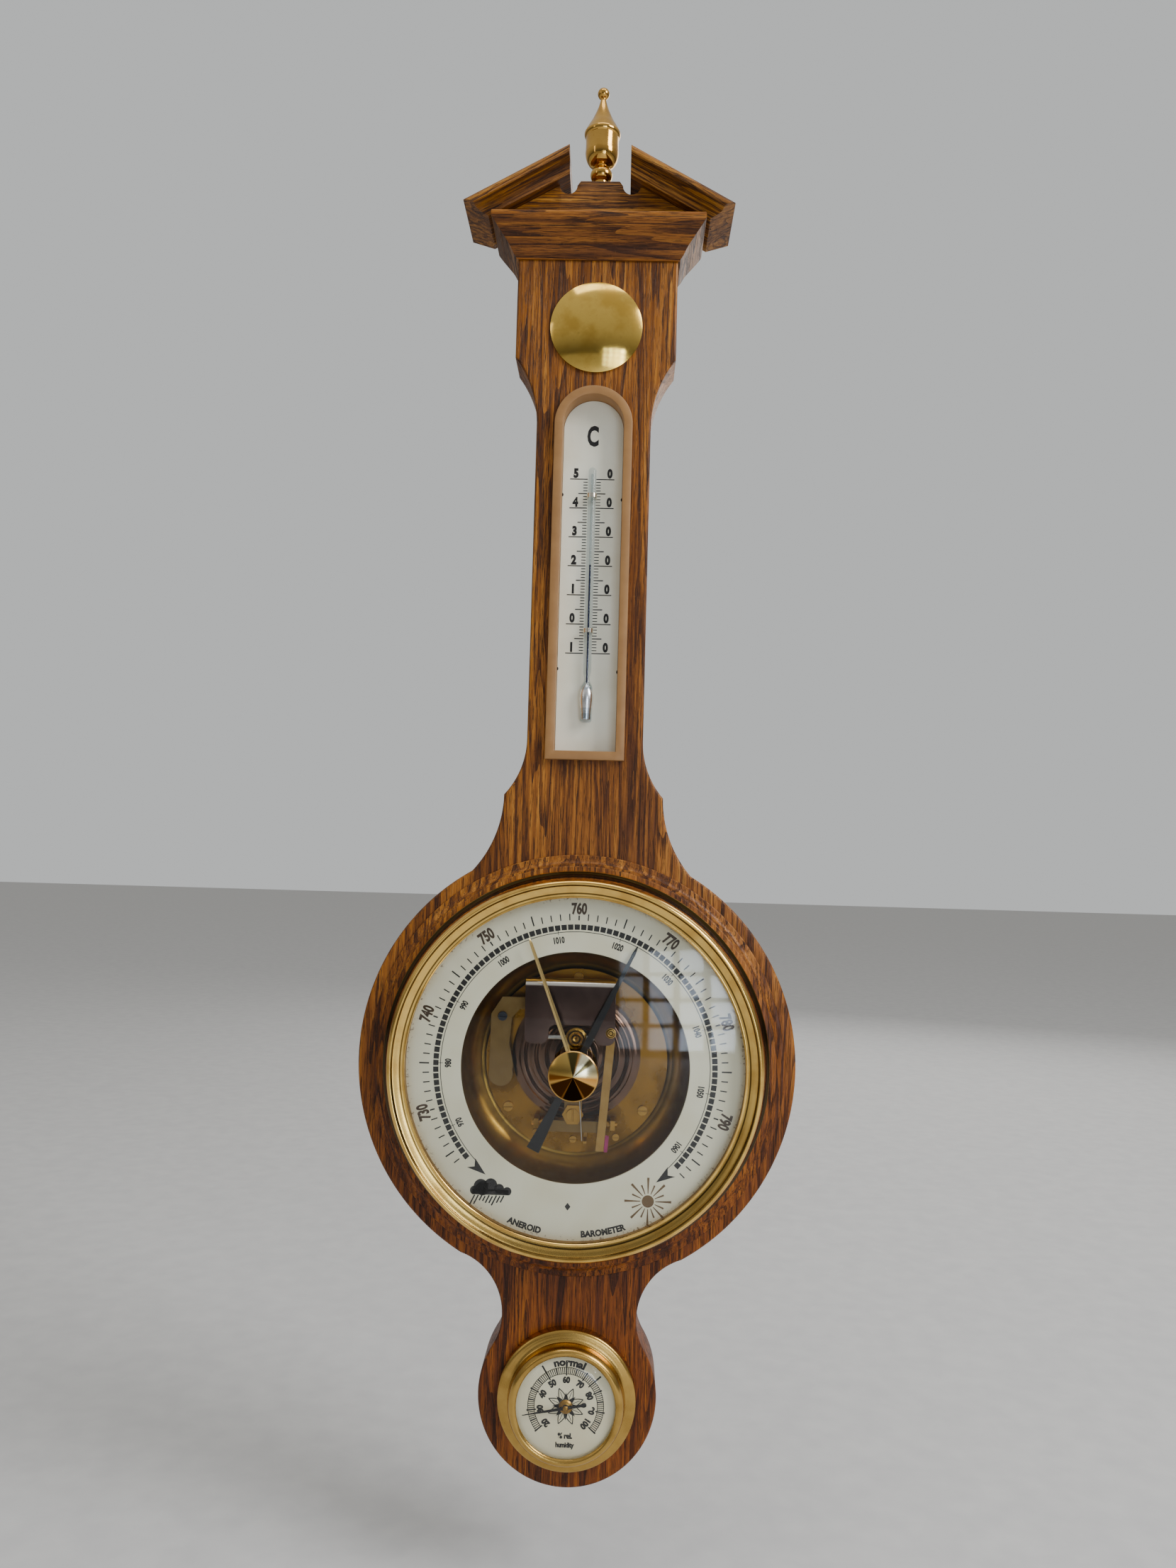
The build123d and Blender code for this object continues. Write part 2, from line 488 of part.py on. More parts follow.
def build_spring():
    """The main spring: a folded steel leaf with two legs over the capsule, and the lever on it."""
    fold_z, fold_out = SPRING_PIVOT
    thick = 0.9
    outer_r = 4.0
    section = arc_points((fold_out, fold_z), outer_r, 0, 180, 14)
    section += [(fold_out - outer_r, fold_z - 9.0), (fold_out - outer_r + thick, fold_z - 9.0)]
    section += arc_points((fold_out, fold_z), outer_r - thick, 180, 0, 14)
    leg_low = BARO_Z + 9.4
    section += [(fold_out + outer_r - thick, leg_low), (fold_out + outer_r, leg_low)]
    side = Plane(origin=(-23.5, 0, 0), x_dir=(0, -1, 0), z_dir=(-1, 0, 0))
    leaf = extrude(side * polygon(section), -41.0)
    gap = Pos(-2.2, BARO_Z + 12.0) * Rectangle(20.6, 12.0)
    leaf -= slab(fillet(gap.vertices().sort_by(Axis.Y)[-2:], 3.0), 31, 36)
    low = [e for e in leaf.edges().filter_by(Axis.Y) if e.center().Z < leg_low + 0.5]
    leaf = fillet(low, 3.4)
    parts["leaf_spring"] = leaf

    groove = [(0, 26.0), (2.2, 26.0), (2.2, 34.2), (4.8, 34.2), (4.8, 34.9), (4.3, 35.1), (4.8, 35.3),
              (4.8, 36.0), (3.9, 36.2), (3.6, 35.8), (2.4, 35.8), (2.2, 36.3), (1.0, 36.3), (0, 36.0)]
    hub = turned(groove, HUB_Z)
    pin_out = 32.0
    pin_r = 1.0
    parts["spring_hub"] = hub - rod_x(HUB_Z, pin_out, pin_r, -3, 3)
    parts["knife_edge_pin"] = rod_x(HUB_Z, pin_out, pin_r, -14.5, 12.5)

    lever_out = (32.0, 33.1)
    lever = [(14.0, BARO_Z + 19.0), (17.4, BARO_Z + 19.0), (17.4, BARO_Z + 9.0), (13.6, BARO_Z - 37.7),
             (10.0, BARO_Z - 37.7), (13.6, BARO_Z + 9.0)]
    strip = slab(polygon(lever), lever_out[0], lever_out[1])
    strip += box_between((10.2, 13.6), (ROCKER_OUT + 1.1, lever_out[1]), (BARO_Z - 37.7, BARO_Z - 36.7))
    strip += box_between((10.2, 13.6), (ROCKER_OUT + 1.1, ROCKER_OUT + 2.0), (BARO_Z - 37.7, BARO_Z - 33.6))
    rivet_z = BARO_Z + 15.0
    rivet_x = 15.6
    strip -= disc(rivet_x, rivet_z, 1.1, 31, 34)
    parts["leaf_spring"] -= disc(rivet_x, rivet_z, 1.1, 32.5, 35)
    parts["long_lever"] = strip
    rivet = [(0, 31.4), (1.9, 31.4), (1.9, 32.0), (1.1, 32.0), (1.1, 34.0), (2.3, 34.0), (2.3, 34.4),
             (1.3, 34.7), (1.1, 34.3), (0, 34.3)]
    parts["lever_rivet"] = turned(rivet, rivet_z, rivet_x)


def build_bracket():
    """The flat foot on the left that carries the spring."""
    low, high = 24.4, 25.6
    shape = [(-39.6, 21.0), (-34.5, 29.0), (-8.0, 29.0), (-8.0, 23.5), (-26.5, 23.5), (-29.8, 19.5),
             (-30.8, 8.0), (-28.6, -2.0)]
    shape += arc_points((-34.4, -6.0), 5.6, 20, -200, 12)
    plate = slab(polygon([(x, BARO_Z + z) for x, z in shape]), low, high)
    posts = []
    for x, z in ((-34.2, 20.2), (-34.4, -6.0)):
        posts.append(disc(x, BARO_Z + z, 2.4, PLATE_TOP, low))
    plate -= disc(-34.2, BARO_Z + 20.2, 1.1, low - 1, high + 1)
    posts[0] -= disc(-34.2, BARO_Z + 20.2, 1.1, 20.0, low + 1)
    parts["spring_bracket"] = plate
    parts["movement_pillars"] = Compound(children=list(parts["movement_pillars"].children) + posts)
    parts["bracket_screw"] = screw(-34.2, BARO_Z + 20.2, 2.1, high, high + 1.4, 1.1, 20.1)


def build_bridge():
    """The bridge over the centre that carries the pointer's arbor, and its adjusting screw."""
    low, high = 29.0, 30.2
    shape = [(-12.0, -30.2), (13.0, -30.2), (13.0, -25.2), (3.4, -25.2), (3.4, 4.0), (1.6, 6.0),
             (-2.4, 6.0), (-4.6, 4.0), (-4.6, -25.2), (-12.0, -25.2)]
    plate = slab(polygon([(x, BARO_Z + z) for x, z in shape]), low, high)
    plate -= disc(0, BARO_Z, 0.7 + RUNNING, low - 1, high + 1)
    screw_x, screw_z = -0.7, BARO_Z - 22.2
    plate -= disc(screw_x, screw_z, 1.5 + RUNNING, low - 1, high + 1)
    for x_low, x_high in ((-11.5, -8.0), (7.4, 9.4)):
        plate += box_between((x_low, x_high), (PLATE_TOP, low), (BARO_Z - 30.2, BARO_Z - 29.1))
    lower = disc(0, BARO_Z, 2.4, 26.2, 27.2) - disc(0, BARO_Z, 0.7 + RUNNING, 25, 28)
    strut = box_between((-4.4, -3.2), (26.2, low), (BARO_Z - 2.4, BARO_Z + 2.4))
    strut += box_between((-4.4, -1.5), (26.2, 27.2), (BARO_Z - 1.5, BARO_Z + 1.5))
    parts["bridge_cock"] = plate + strut + lower
    nut = slab(Pos(screw_x, screw_z) * (RegularPolygon(4.9, 6) - Circle(1.5 + RUNNING)), high, high + 1.6)
    parts["lock_nut"] = nut
    head_low = high + 1.7
    adjuster = disc(screw_x, screw_z, 2.8, head_low, head_low + 1.0)
    adjuster += disc(screw_x, screw_z, 1.5, 27.2, head_low)
    adjuster -= box_between((screw_x - 0.35, screw_x + 0.35), (head_low + 0.4, head_low + 2),
                            (screw_z - 3, screw_z + 3))
    parts["calibration_screw"] = adjuster


def build_rocker():
    """The cross arbor: one arm follows the lever, the other pulls the chain."""
    arbor = rod_x(ROCKER_Z, ROCKER_OUT, 1.0, -19.5, 19.5)
    follower = box_between((10.6, 13.2), (ROCKER_OUT - 0.8, ROCKER_OUT + 0.8), (ROCKER_Z - 8.0, ROCKER_Z))
    puller = box_between((4.4, 5.8), (ROCKER_OUT - 0.7, ROCKER_OUT + 0.7), (ROCKER_Z - 6.6, ROCKER_Z))
    puller += box_between((4.4, 5.8), (ROCKER_OUT - 0.7, CHAIN_OUT + 0.9), (ROCKER_Z - 6.6, ROCKER_Z - 5.6))
    collars = rod_x(ROCKER_Z, ROCKER_OUT, 1.8, -15.4, -14.2) + rod_x(ROCKER_Z, ROCKER_OUT, 1.8, 14.6, 15.8)
    parts["rocker_arbor"] = arbor + follower + puller + collars
    stands = []
    for x in (-17.4, 17.4):
        post = box_between((x - 1.1, x + 1.1), (PLATE_TOP, ROCKER_OUT + 2.2),
                           (ROCKER_Z - 2.2, ROCKER_Z + 2.2))
        post -= rod_x(ROCKER_Z, ROCKER_OUT, 1.0 + RUNNING, x - 3, x + 3)
        stands.append(post)
    parts["rocker_stands"] = Compound(children=stands)
    start = Vector(3.75, -CHAIN_OUT, ROCKER_Z - 5.6)
    end = Vector(1.15, -CHAIN_OUT, BARO_Z - 0.5)
    run = end - start
    plane = Plane(origin=start, z_dir=run.normalized())
    parts["pull_chain"] = extrude(plane * Circle(0.2), run.length)


def build_hairspring():
    """A flat coil of half-turn arcs that grows outwards, between the arbor and the bridge."""
    out = 31.4
    start_r = 1.6
    pitch = 0.55
    width, height = 0.14, 0.5
    coil = None
    for i in range(10):
        radius = start_r + pitch * i / 2
        centre = -pitch / 4 if i % 2 else pitch / 4
        ring = Circle(radius + width / 2) - Circle(radius - width / 2)
        half = Pos(0, 50 if i % 2 == 0 else -50) * Rectangle(100, 100)
        band = slab(Pos(centre, BARO_Z) * (ring & half), out, out + height)
        coil = band if coil is None else coil + band
    post = disc(-start_r - pitch * 5 + 0.1, BARO_Z, 0.45, 30.2, out + height)
    parts["hairspring"] = coil + post


def build_pointers():
    hub_r = 3.2
    tip, tail = 60.8, -40.4
    outline = [(0.25, tip), (0.85, tip - 4.0), (0.75, tip - 6.0), (1.6, 22.0)]
    outline += arc_points((0, 0), hub_r, 62, -62, 8)
    outline += [(1.2, -9.0), (3.0, tail)]
    collar = disc(0, BARO_Z, 1.8, 40.4, 41.4)
    parts["pressure_pointer"] = turned_hand(mirrored(outline), BARO_Z, PRESSURE_ANGLE, 40.0, 40.4) + collar
    arbor = [(0, 26.4), (0.7, 26.4), (0.7, 32.4), (1.0, 32.6), (0.8, CHAIN_OUT - 0.4), (0.8, CHAIN_OUT + 0.4),
             (1.0, CHAIN_OUT + 0.6), (1.0, CHAIN_OUT + 0.9), (0.7, CHAIN_OUT + 1.1), (0.7, 38.6), (2.0, 38.6),
             (2.0, 40.0), (0, 40.0)]
    parts["pointer_arbor"] = turned(arbor, BARO_Z)

    set_low, set_high = 42.6, 43.1
    spire = [(0.15, 61.1), (0.9, 58.6), (1.25, 14.0)]
    spire += arc_points((0, 0), 3.6, 66, -90, 8)
    parts["set_hand"] = turned_hand(mirrored(spire), BARO_Z, SET_ANGLE, set_low, set_high) \
        - disc(0, BARO_Z, 1.2, set_low - 1, set_high + 1)
    shaft = [(0, 41.9), (2.2, 41.9), (2.2, set_low), (1.2, set_low), (1.2, set_high), (1.5, set_high),
             (1.5, 56.0), (0, 56.0)]
    parts["set_spindle"] = turned(shaft, BARO_Z)
    face = 60.0
    knob = [(1.5, 51.9), (4.0, 51.9), (4.0, 53.4), (4.6, 55.0), (6.6, 56.7), (9.2, 57.7), (10.4, 58.4),
            (10.9, 59.3), (10.8, face), (10.3, face + 0.3), (0, face + 2.4), (0, 56.0), (1.5, 56.0)]
    parts["set_knob"] = turned(knob, BARO_Z)


# Hygrometer ---------------------------------------------------------------------------------
def build_hygrometer():
    bezel = [(HYG_BEZEL_R - 0.8, BOARD_THICK), (HYG_BEZEL_R, BOARD_THICK), (HYG_BEZEL_R, 30.3),
             (30.8, 31.0), (30.2, 31.4), (28.6, 31.8), (26.8, 32.2), (26.2, 32.8), (25.9, 35.0), (25.5, 37.2),
             (24.8, 38.3), (24.0, 38.8), (23.2, 38.8), (22.5, 38.5), (22.1, 38.2), (HYG_LIP_R, 37.9),
             (HYG_LIP_R, 37.7), (23.5, 37.7), (23.5, 35.4), (25.0, 35.4), (25.3, 33.0), (25.7, 31.8),
             (28.4, 31.0), (29.8, 30.6), (HYG_BEZEL_R - 0.8, 30.0)]
    parts["hygrometer_bezel"] = turned(bezel, HYG_Z)
    edge = HYG_DIAL_OUT
    glass = [(0, edge), (23.2, edge), (23.2, edge + 1.4), (21.85, edge + 1.6), (19.4, edge + 3.3),
             (14.0, edge + 4.6), (7.0, edge + 5.6), (0, edge + 6.0)]
    hollow = [(0, edge - 1), (22.4, edge - 1), (22.4, edge), (21.3, edge + 1.2), (19.5, edge + 2.45),
              (14.0, edge + 3.7), (7.0, edge + 4.7), (0, edge + 5.1)]
    parts["hygrometer_glass"] = turned(glass, HYG_Z) - turned(hollow, HYG_Z)
    can = [(0, 8.0), (24.4, 8.0), (24.4, 34.6), (25.0, 34.6), (25.0, 35.4), (22.8, 35.4), (22.8, 34.6),
           (23.6, 34.6), (23.6, 8.8), (0, 8.8)]
    parts["hygrometer_can"] = turned(can, HYG_Z)
    dial = [(1.6, edge - 0.6), (23.3, edge - 0.6), (23.3, edge), (1.6, edge)]
    parts["hygrometer_dial"] = turned(dial, HYG_Z)
    bridge = box_between((-23.1, 23.1), (24.0, 25.0), (HYG_Z - 4, HYG_Z + 4))
    bridge -= disc(0, HYG_Z, 0.6 + RUNNING, 23, 26)
    parts["hygrometer_bridge"] = bridge
    coil = None
    start_r, pitch, width = 2.0, 1.3, 0.4
    for i in range(10):
        radius = start_r + pitch * i / 2
        centre = -pitch / 4 if i % 2 else pitch / 4
        ring = Circle(radius + width / 2) - Circle(radius - width / 2)
        half = Pos(0, 50 if i % 2 == 0 else -50) * Rectangle(100, 100)
        band = slab(Pos(centre, HYG_Z) * (ring & half), 17.0, 22.0)
        coil = band if coil is None else coil + band
    anchor = disc(-start_r - pitch * 5 + 0.3, HYG_Z, 0.8, 17.0, 24.0)
    parts["humidity_coil"] = coil + anchor
    outline = [(0.15, 19.4), (0.4, 12.0), (0.7, 2.0)] + arc_points((0, 0), 1.5, 60, -60, 6)
    outline += [(0.55, -3.0), (0.6, -6.8), (1.0, -8.0), (0.9, -8.9), (0.4, -9.3)]
    hand = turned_hand(mirrored(outline), HYG_Z, HYG_ANGLE, edge + 1.8, edge + 2.1)
    parts["hygrometer_pointer"] = hand - disc(0, HYG_Z, 0.6, edge, edge + 3)
    arbor = [(0, 16.0), (0.6, 16.0), (0.6, edge + 0.3), (3.0, edge + 0.3), (3.0, edge + 0.7),
             (2.4, edge + 1.3), (1.4, edge + 1.7), (0.6, edge + 1.8), (0.6, edge + 2.1), (1.2, edge + 2.1),
             (1.2, edge + 2.7), (0.8, edge + 3.1), (0, edge + 3.2)]
    parts["hygrometer_arbor"] = turned(arbor, HYG_Z)


build_case()
build_cornice()
build_pediment()
build_finial()
build_boss()
wood_screws = build_back()
build_thermometer()
wood_screws += build_barometer_case()
parts["wood_screws"] = Compound(children=wood_screws)
build_movement_base()
build_capsule()
build_spring()
build_bracket()
build_bridge()
build_rocker()
build_hairspring()
build_pointers()
build_hygrometer()

os.makedirs("parts", exist_ok=True)
for name, shape in parts.items():
    export_step(shape, f"parts/{name}.step")
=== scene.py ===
import json
import math

import bmesh
import bpy
import numpy as np
from mathutils import Matrix, Vector

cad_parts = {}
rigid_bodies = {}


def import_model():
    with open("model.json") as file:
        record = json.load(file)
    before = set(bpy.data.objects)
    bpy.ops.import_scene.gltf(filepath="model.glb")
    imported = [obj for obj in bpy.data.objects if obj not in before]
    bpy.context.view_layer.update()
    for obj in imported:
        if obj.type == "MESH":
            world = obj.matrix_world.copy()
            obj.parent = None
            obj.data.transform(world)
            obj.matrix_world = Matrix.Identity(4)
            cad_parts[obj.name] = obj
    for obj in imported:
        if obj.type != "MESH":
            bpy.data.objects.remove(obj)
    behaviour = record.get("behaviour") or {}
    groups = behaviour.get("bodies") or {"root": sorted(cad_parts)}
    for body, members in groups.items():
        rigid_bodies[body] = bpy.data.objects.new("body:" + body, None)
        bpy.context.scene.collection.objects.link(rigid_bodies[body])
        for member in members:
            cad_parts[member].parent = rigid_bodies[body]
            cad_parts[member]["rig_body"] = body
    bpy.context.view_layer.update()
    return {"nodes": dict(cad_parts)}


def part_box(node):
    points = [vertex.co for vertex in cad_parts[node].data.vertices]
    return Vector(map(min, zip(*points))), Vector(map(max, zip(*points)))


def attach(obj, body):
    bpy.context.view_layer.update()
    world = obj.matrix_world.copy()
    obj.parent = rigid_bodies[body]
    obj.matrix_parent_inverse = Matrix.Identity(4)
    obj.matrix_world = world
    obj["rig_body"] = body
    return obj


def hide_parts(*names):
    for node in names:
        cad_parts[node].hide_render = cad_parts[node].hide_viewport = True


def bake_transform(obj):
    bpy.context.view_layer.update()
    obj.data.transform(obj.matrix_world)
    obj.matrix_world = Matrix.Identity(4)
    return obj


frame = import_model()
MM = 0.001


# ---- Camera --------------------------------------------------------------------------------
# It stands half a metre in front of the case, level with the foot of the thermometer, and
# looks slightly up, a little turned and a little rolled.
def turn_about(axis, angle):
    """Three by three rotation matrix about a main axis."""
    return Matrix.Rotation(angle, 3, axis)


baro_low, baro_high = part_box("barometer_glass")
BARO = np.array([(baro_low.x + baro_high.x) / 2, (baro_low.z + baro_high.z) / 2])
board_low, board_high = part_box("case_board")
BOARD_OUT = -board_low.y / MM
lens_data = bpy.data.cameras.new("camera")
lens_data.sensor_width = 36.0
lens_data.lens = 27.28
lens_data.clip_start = 0.01
camera = bpy.data.objects.new("camera", lens_data)
bpy.context.scene.collection.objects.link(camera)
look = turn_about("Z", 0.025953) @ turn_about("Y", 0.026824) @ turn_about("X", -0.061363)
rows = look @ Matrix(((1, 0, 0), (0, 0, -1), (0, 1, 0)))
camera_axes = Matrix((rows[0], -rows[1], -rows[2])).transposed().to_4x4()
stand = Vector((16.76 * MM, board_low.y - 549.17 * MM, BARO[1] + 93.98 * MM))
camera.matrix_world = Matrix.Translation(stand) @ camera_axes
bpy.context.scene.camera = camera


# ---- Floor, sky and lamps ------------------------------------------------------------------
# A plain pale floor below the foot of the case, a pale sky, and soft lamps: a grid of window
# panes and a large window on the right, a doorway on the left, and one lamp above and one behind.
class Wire:
    """A shader value. Sums, differences and products of wires add Math nodes."""

    def __init__(self, paint, socket):
        self.paint = paint
        self.socket = socket

    def maths(self, operation, *others):
        """Any Math node with this value first."""
        inputs = dict(enumerate((self,) + others))
        return self.paint.node("ShaderNodeMath", {"operation": operation}, inputs)

    def after(self, operation, other):
        """A Math node with this value second."""
        return self.paint.node("ShaderNodeMath", {"operation": operation}, {0: other, 1: self})

    def __add__(self, other):
        return self.maths("ADD", other)

    def __radd__(self, other):
        return self.after("ADD", other)

    def __sub__(self, other):
        return self.maths("SUBTRACT", other)

    def __rsub__(self, other):
        return self.after("SUBTRACT", other)

    def __mul__(self, other):
        return self.maths("MULTIPLY", other)

    def __rmul__(self, other):
        return self.after("MULTIPLY", other)


def srgb(red, green, blue):
    """A colour from screen values of 0 to 255, as the linear values that shaders use."""
    values = np.array([red, green, blue]) / 255
    linear = np.where(values <= 0.04045, values / 12.92, ((values + 0.055) / 1.055) ** 2.4)
    return (*linear.tolist(), 1.0)


class Paint:
    """A material on one Principled shader, with short calls for the nodes that feed it."""

    def __init__(self, name, **sockets):
        self.material = bpy.data.materials.new(name)
        self.material.use_nodes = True
        self.tree = self.material.node_tree
        self.shader = self.tree.nodes["Principled BSDF"]
        self.finish(**sockets)

    def finish(self, **sockets):
        """Sets or links sockets of the shader: Base_Color=..., Roughness=..."""
        for label, value in sockets.items():
            self.feed(self.shader.inputs[label.replace("_", " ")], value)

    def feed(self, socket, value):
        """Links a wire to a socket, or sets the socket's value."""
        if isinstance(value, Wire):
            self.tree.links.new(value.socket, socket)
        else:
            socket.default_value = value

    def node(self, kind, settings, inputs, output=0):
        """Any node: its settings first, then the values or links of its sockets."""
        made = self.tree.nodes.new(kind)
        for key, value in settings.items():
            if key == "stops":
                ramp = made.color_ramp
                while len(ramp.elements) < len(value):
                    ramp.elements.new(1.0)
                for element, (position, colour) in zip(ramp.elements, value):
                    element.position = position
                    element.color = colour
            else:
                setattr(made, key, value)
        for key, value in inputs.items():
            self.feed(made.inputs[key], value)
        return Wire(self, made.outputs[output])

    def vector(self, operation, first, second=(0, 0, 0), output=0):
        """A Vector Math node."""
        return self.node("ShaderNodeVectorMath", {"operation": operation}, {0: first, 1: second}, output)

    def place(self, scale=(1000, 1000, 1000), turn=(0, 0, 0), shift=(0, 0, 0)):
        """Object coordinates, turned, shifted and scaled: in millimetres if no scale is given."""
        where = self.node("ShaderNodeTexCoord", {}, {}, "Object")
        turned = self.node("ShaderNodeMapping", {}, {"Vector": where, "Rotation": turn, "Location": shift})
        return self.vector("MULTIPLY", turned, scale)

    def around(self, where, centre):
        """The offset from a centre in the plane of the wall, and its length."""
        offset = self.vector("SUBTRACT", where, (centre[0], 0, centre[1]))
        flat = self.vector("MULTIPLY", offset, (1, 0, 1))
        return flat, self.vector("LENGTH", flat, output="Value")

    def height(self):
        """Height above the origin, in millimetres."""
        return self.node("ShaderNodeSeparateXYZ", {}, {0: self.place()}, "Z")

    def noise(self, where, scale, detail=3.0, roughness=0.5, distortion=0.0):
        """Fractal noise, about 0.5 on average."""
        inputs = {"Vector": where, "Scale": scale, "Detail": detail, "Roughness": roughness,
                  "Distortion": distortion}
        return self.node("ShaderNodeTexNoise", {}, inputs, "Fac")

    def ramp(self, value, *stops):
        """A colour by value, from stops of (position, colour)."""
        return self.node("ShaderNodeValToRGB", {"stops": stops}, {"Fac": value})

    def mottled(self, value, dark, light, low=0.3, high=0.7):
        """From a dark to a light colour, both screen values, as a value goes from low to high."""
        return self.ramp(value, (low, srgb(*dark)), (high, srgb(*light)))

    def band(self, value, low, high):
        """0 below low, 1 above high, smooth between."""
        settings = {"interpolation_type": "SMOOTHSTEP"}
        return self.node("ShaderNodeMapRange", settings, {"Value": value, "From Min": low, "From Max": high})

    def mix(self, factor, first, second, blend="MIX"):
        """Two colours mixed by a factor."""
        settings = {"data_type": "RGBA", "blend_type": blend}
        inputs = {0: factor, 6: first, 7: second}
        return self.node("ShaderNodeMix", settings, inputs, 2)

    def bump(self, height, depth_mm, strength=1.0):
        """A normal from a height, whose range of 0 to 1 is that many millimetres deep."""
        inputs = {"Height": height, "Distance": depth_mm * MM, "Strength": strength}
        return self.node("ShaderNodeBump", {}, inputs)


floor_z = board_low.z - 0.05
floor_mesh = bpy.data.meshes.new("floor")
reach = 9.0
floor_mesh.from_pydata([(-reach, -reach, floor_z), (reach, -reach, floor_z), (reach, reach, floor_z),
                        (-reach, reach, floor_z)], [], [(0, 1, 2, 3)])
floor = bpy.data.objects.new("floor", floor_mesh)
bpy.context.scene.collection.objects.link(floor)
floor_paint = Paint("pale_floor", Roughness=0.8)
speckle = floor_paint.noise(floor_paint.place((1, 1, 1)), 60.0, 4.0)
floor_paint.finish(Base_Color=floor_paint.mottled(speckle, (198, 198, 198), (206, 206, 205)))
floor_mesh.materials.append(floor_paint.material)

sky = bpy.data.worlds.new("sky")
bpy.context.scene.world = sky
sky.use_nodes = True
sky_tree = sky.node_tree
sky_light = sky_tree.nodes["Background"]
seen = sky_tree.nodes.new("ShaderNodeLightPath")
heading = sky_tree.nodes.new("ShaderNodeTexCoord")
split = sky_tree.nodes.new("ShaderNodeSeparateXYZ")
sky_tree.links.new(heading.outputs["Generated"], split.inputs[0])
room = sky_tree.nodes.new("ShaderNodeValToRGB")
room_stops = [(0.0, 0.02), (0.40, 0.05), (0.50, 0.10), (0.66, 0.36), (1.0, 0.6)]
lifted = sky_tree.nodes.new("ShaderNodeMapRange")
lifted.inputs["From Min"].default_value = -1.0
sky_tree.links.new(split.outputs["Z"], lifted.inputs["Value"])
sky_tree.links.new(lifted.outputs[0], room.inputs["Fac"])
while len(room.color_ramp.elements) < len(room_stops):
    room.color_ramp.elements.new(1.0)
for element, (position, level) in zip(room.color_ramp.elements, room_stops):
    element.position = position
    element.color = (level, level * 0.99, level * 0.96, 1.0)
backdrop = sky_tree.nodes.new("ShaderNodeMix")
backdrop.data_type = "RGBA"
backdrop.inputs[7].default_value = srgb(198, 200, 200)
sky_tree.links.new(seen.outputs["Is Camera Ray"], backdrop.inputs[0])
sky_tree.links.new(room.outputs["Color"], backdrop.inputs[6])
sky_tree.links.new(backdrop.outputs[2], sky_light.inputs["Color"])
sky_light.inputs["Strength"].default_value = 1.0


def lamp(name, place, target, size, power, colour):
    """A square area lamp at a place, turned to its target."""
    data = bpy.data.lights.new(name, "AREA")
    data.shape = "RECTANGLE"
    data.size, data.size_y = size
    data.energy = power
    data.color = srgb(*colour)[:3]
    made = bpy.data.objects.new(name, data)
    bpy.context.scene.collection.objects.link(made)
    aim = (Vector(target) - Vector(place)).to_track_quat("-Z", "Y")
    made.matrix_world = Matrix.Translation(Vector(place)) @ aim.to_matrix().to_4x4()
    made.visible_camera = False


centre = (0, 0, BARO[1] + 0.1)
for column in range(4):
    for row in range(4):
        pane = (0.27 + 0.17 * column, -1.95 + 0.07 * column, -0.03 - 0.15 * row)
        lamp(f"pane_{column}_{row}", pane, centre, (0.14, 0.125), 0.16 + 0.14 * column, (222, 236, 255))
lamp("window", (1.35, -0.85, 0.8), centre, (0.7, 0.9), 28.0, (250, 250, 252))
lamp("doorway", (-1.5, -1.3, 0.5), centre, (0.25, 0.9), 1.0, (255, 246, 232))
lamp("ceiling", (0.1, -0.55, 1.5), centre, (1.3, 0.5), 6.0, (255, 252, 246))
lamp("behind", (0.6, 1.6, 0.5), centre, (1.2, 1.2), 10.0, (255, 253, 250))


# ---- Case board ----------------------------------------------------------------------------
# One board of open-grained oak, 26 mm thick, cut to a banjo outline with softened edges. It
# has a round hole for the pressure movement, a slot for the thermometer and a hole for the
# hygrometer, and shallow rebates in its back for the cover and the hanger plate.
def shown(name, mesh, paint, body, replaced=()):
    """The object that shows a mesh, with its material, body and the CAD nodes it replaces."""
    mesh.materials.append(paint.material)
    made = bpy.data.objects.new(name, mesh)
    bpy.context.scene.collection.objects.link(made)
    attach(made, body)
    if replaced:
        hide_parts(*replaced)
    return made


def piece(name, points, faces, body, slot, paint, replaced=(), sharp=35.0):
    """A mesh object from vertices in millimetres and faces, welded, with its faces outwards."""
    mesh = bpy.data.meshes.new(name)
    mesh.from_pydata((np.asarray(points, float) * MM).tolist(), [], [tuple(face) for face in faces])
    work = bmesh.new()
    work.from_mesh(mesh)
    bmesh.ops.remove_doubles(work, verts=work.verts, dist=2e-6)
    bmesh.ops.dissolve_degenerate(work, edges=work.edges, dist=1e-7)
    bmesh.ops.recalc_face_normals(work, faces=work.faces)
    work.to_mesh(mesh)
    work.free()
    mesh.shade_smooth()
    mesh.set_sharp_from_angle(angle=math.radians(sharp))
    return shown(name, mesh, paint, body, replaced)


def grid_faces(rows, columns, wrap_rows=False, wrap_columns=False):
    """Quads of a grid whose point (i, j) has number i * columns + j."""
    i = np.arange(rows if wrap_rows else rows - 1)[:, None]
    j = np.arange(columns if wrap_columns else columns - 1)[None, :]
    next_i, next_j = (i + 1) % rows, (j + 1) % columns
    corners = [i * columns + j, i * columns + next_j, next_i * columns + next_j, next_i * columns + j]
    return np.stack(corners, -1).reshape(-1, 4)


def arc(centre, radius, start, end, count):
    """Points on an arc, in degrees counter-clockwise from the first axis."""
    angles = np.radians(np.linspace(start, end, count))
    return np.column_stack([centre[0] + radius * np.cos(angles), centre[1] + radius * np.sin(angles)])


def leaving_arc(start, end, count):
    """An arc from start to end that leaves start straight up or down."""
    across, along = end[0] - start[0], end[1] - start[1]
    radius = (across**2 + along**2) / (2 * across)
    sweep = np.linspace(0, math.atan2(abs(along), radius - across), count)
    return np.column_stack([start[0] + radius * (1 - np.cos(sweep)),
                            start[1] + math.copysign(1, along) * radius * np.sin(sweep)])


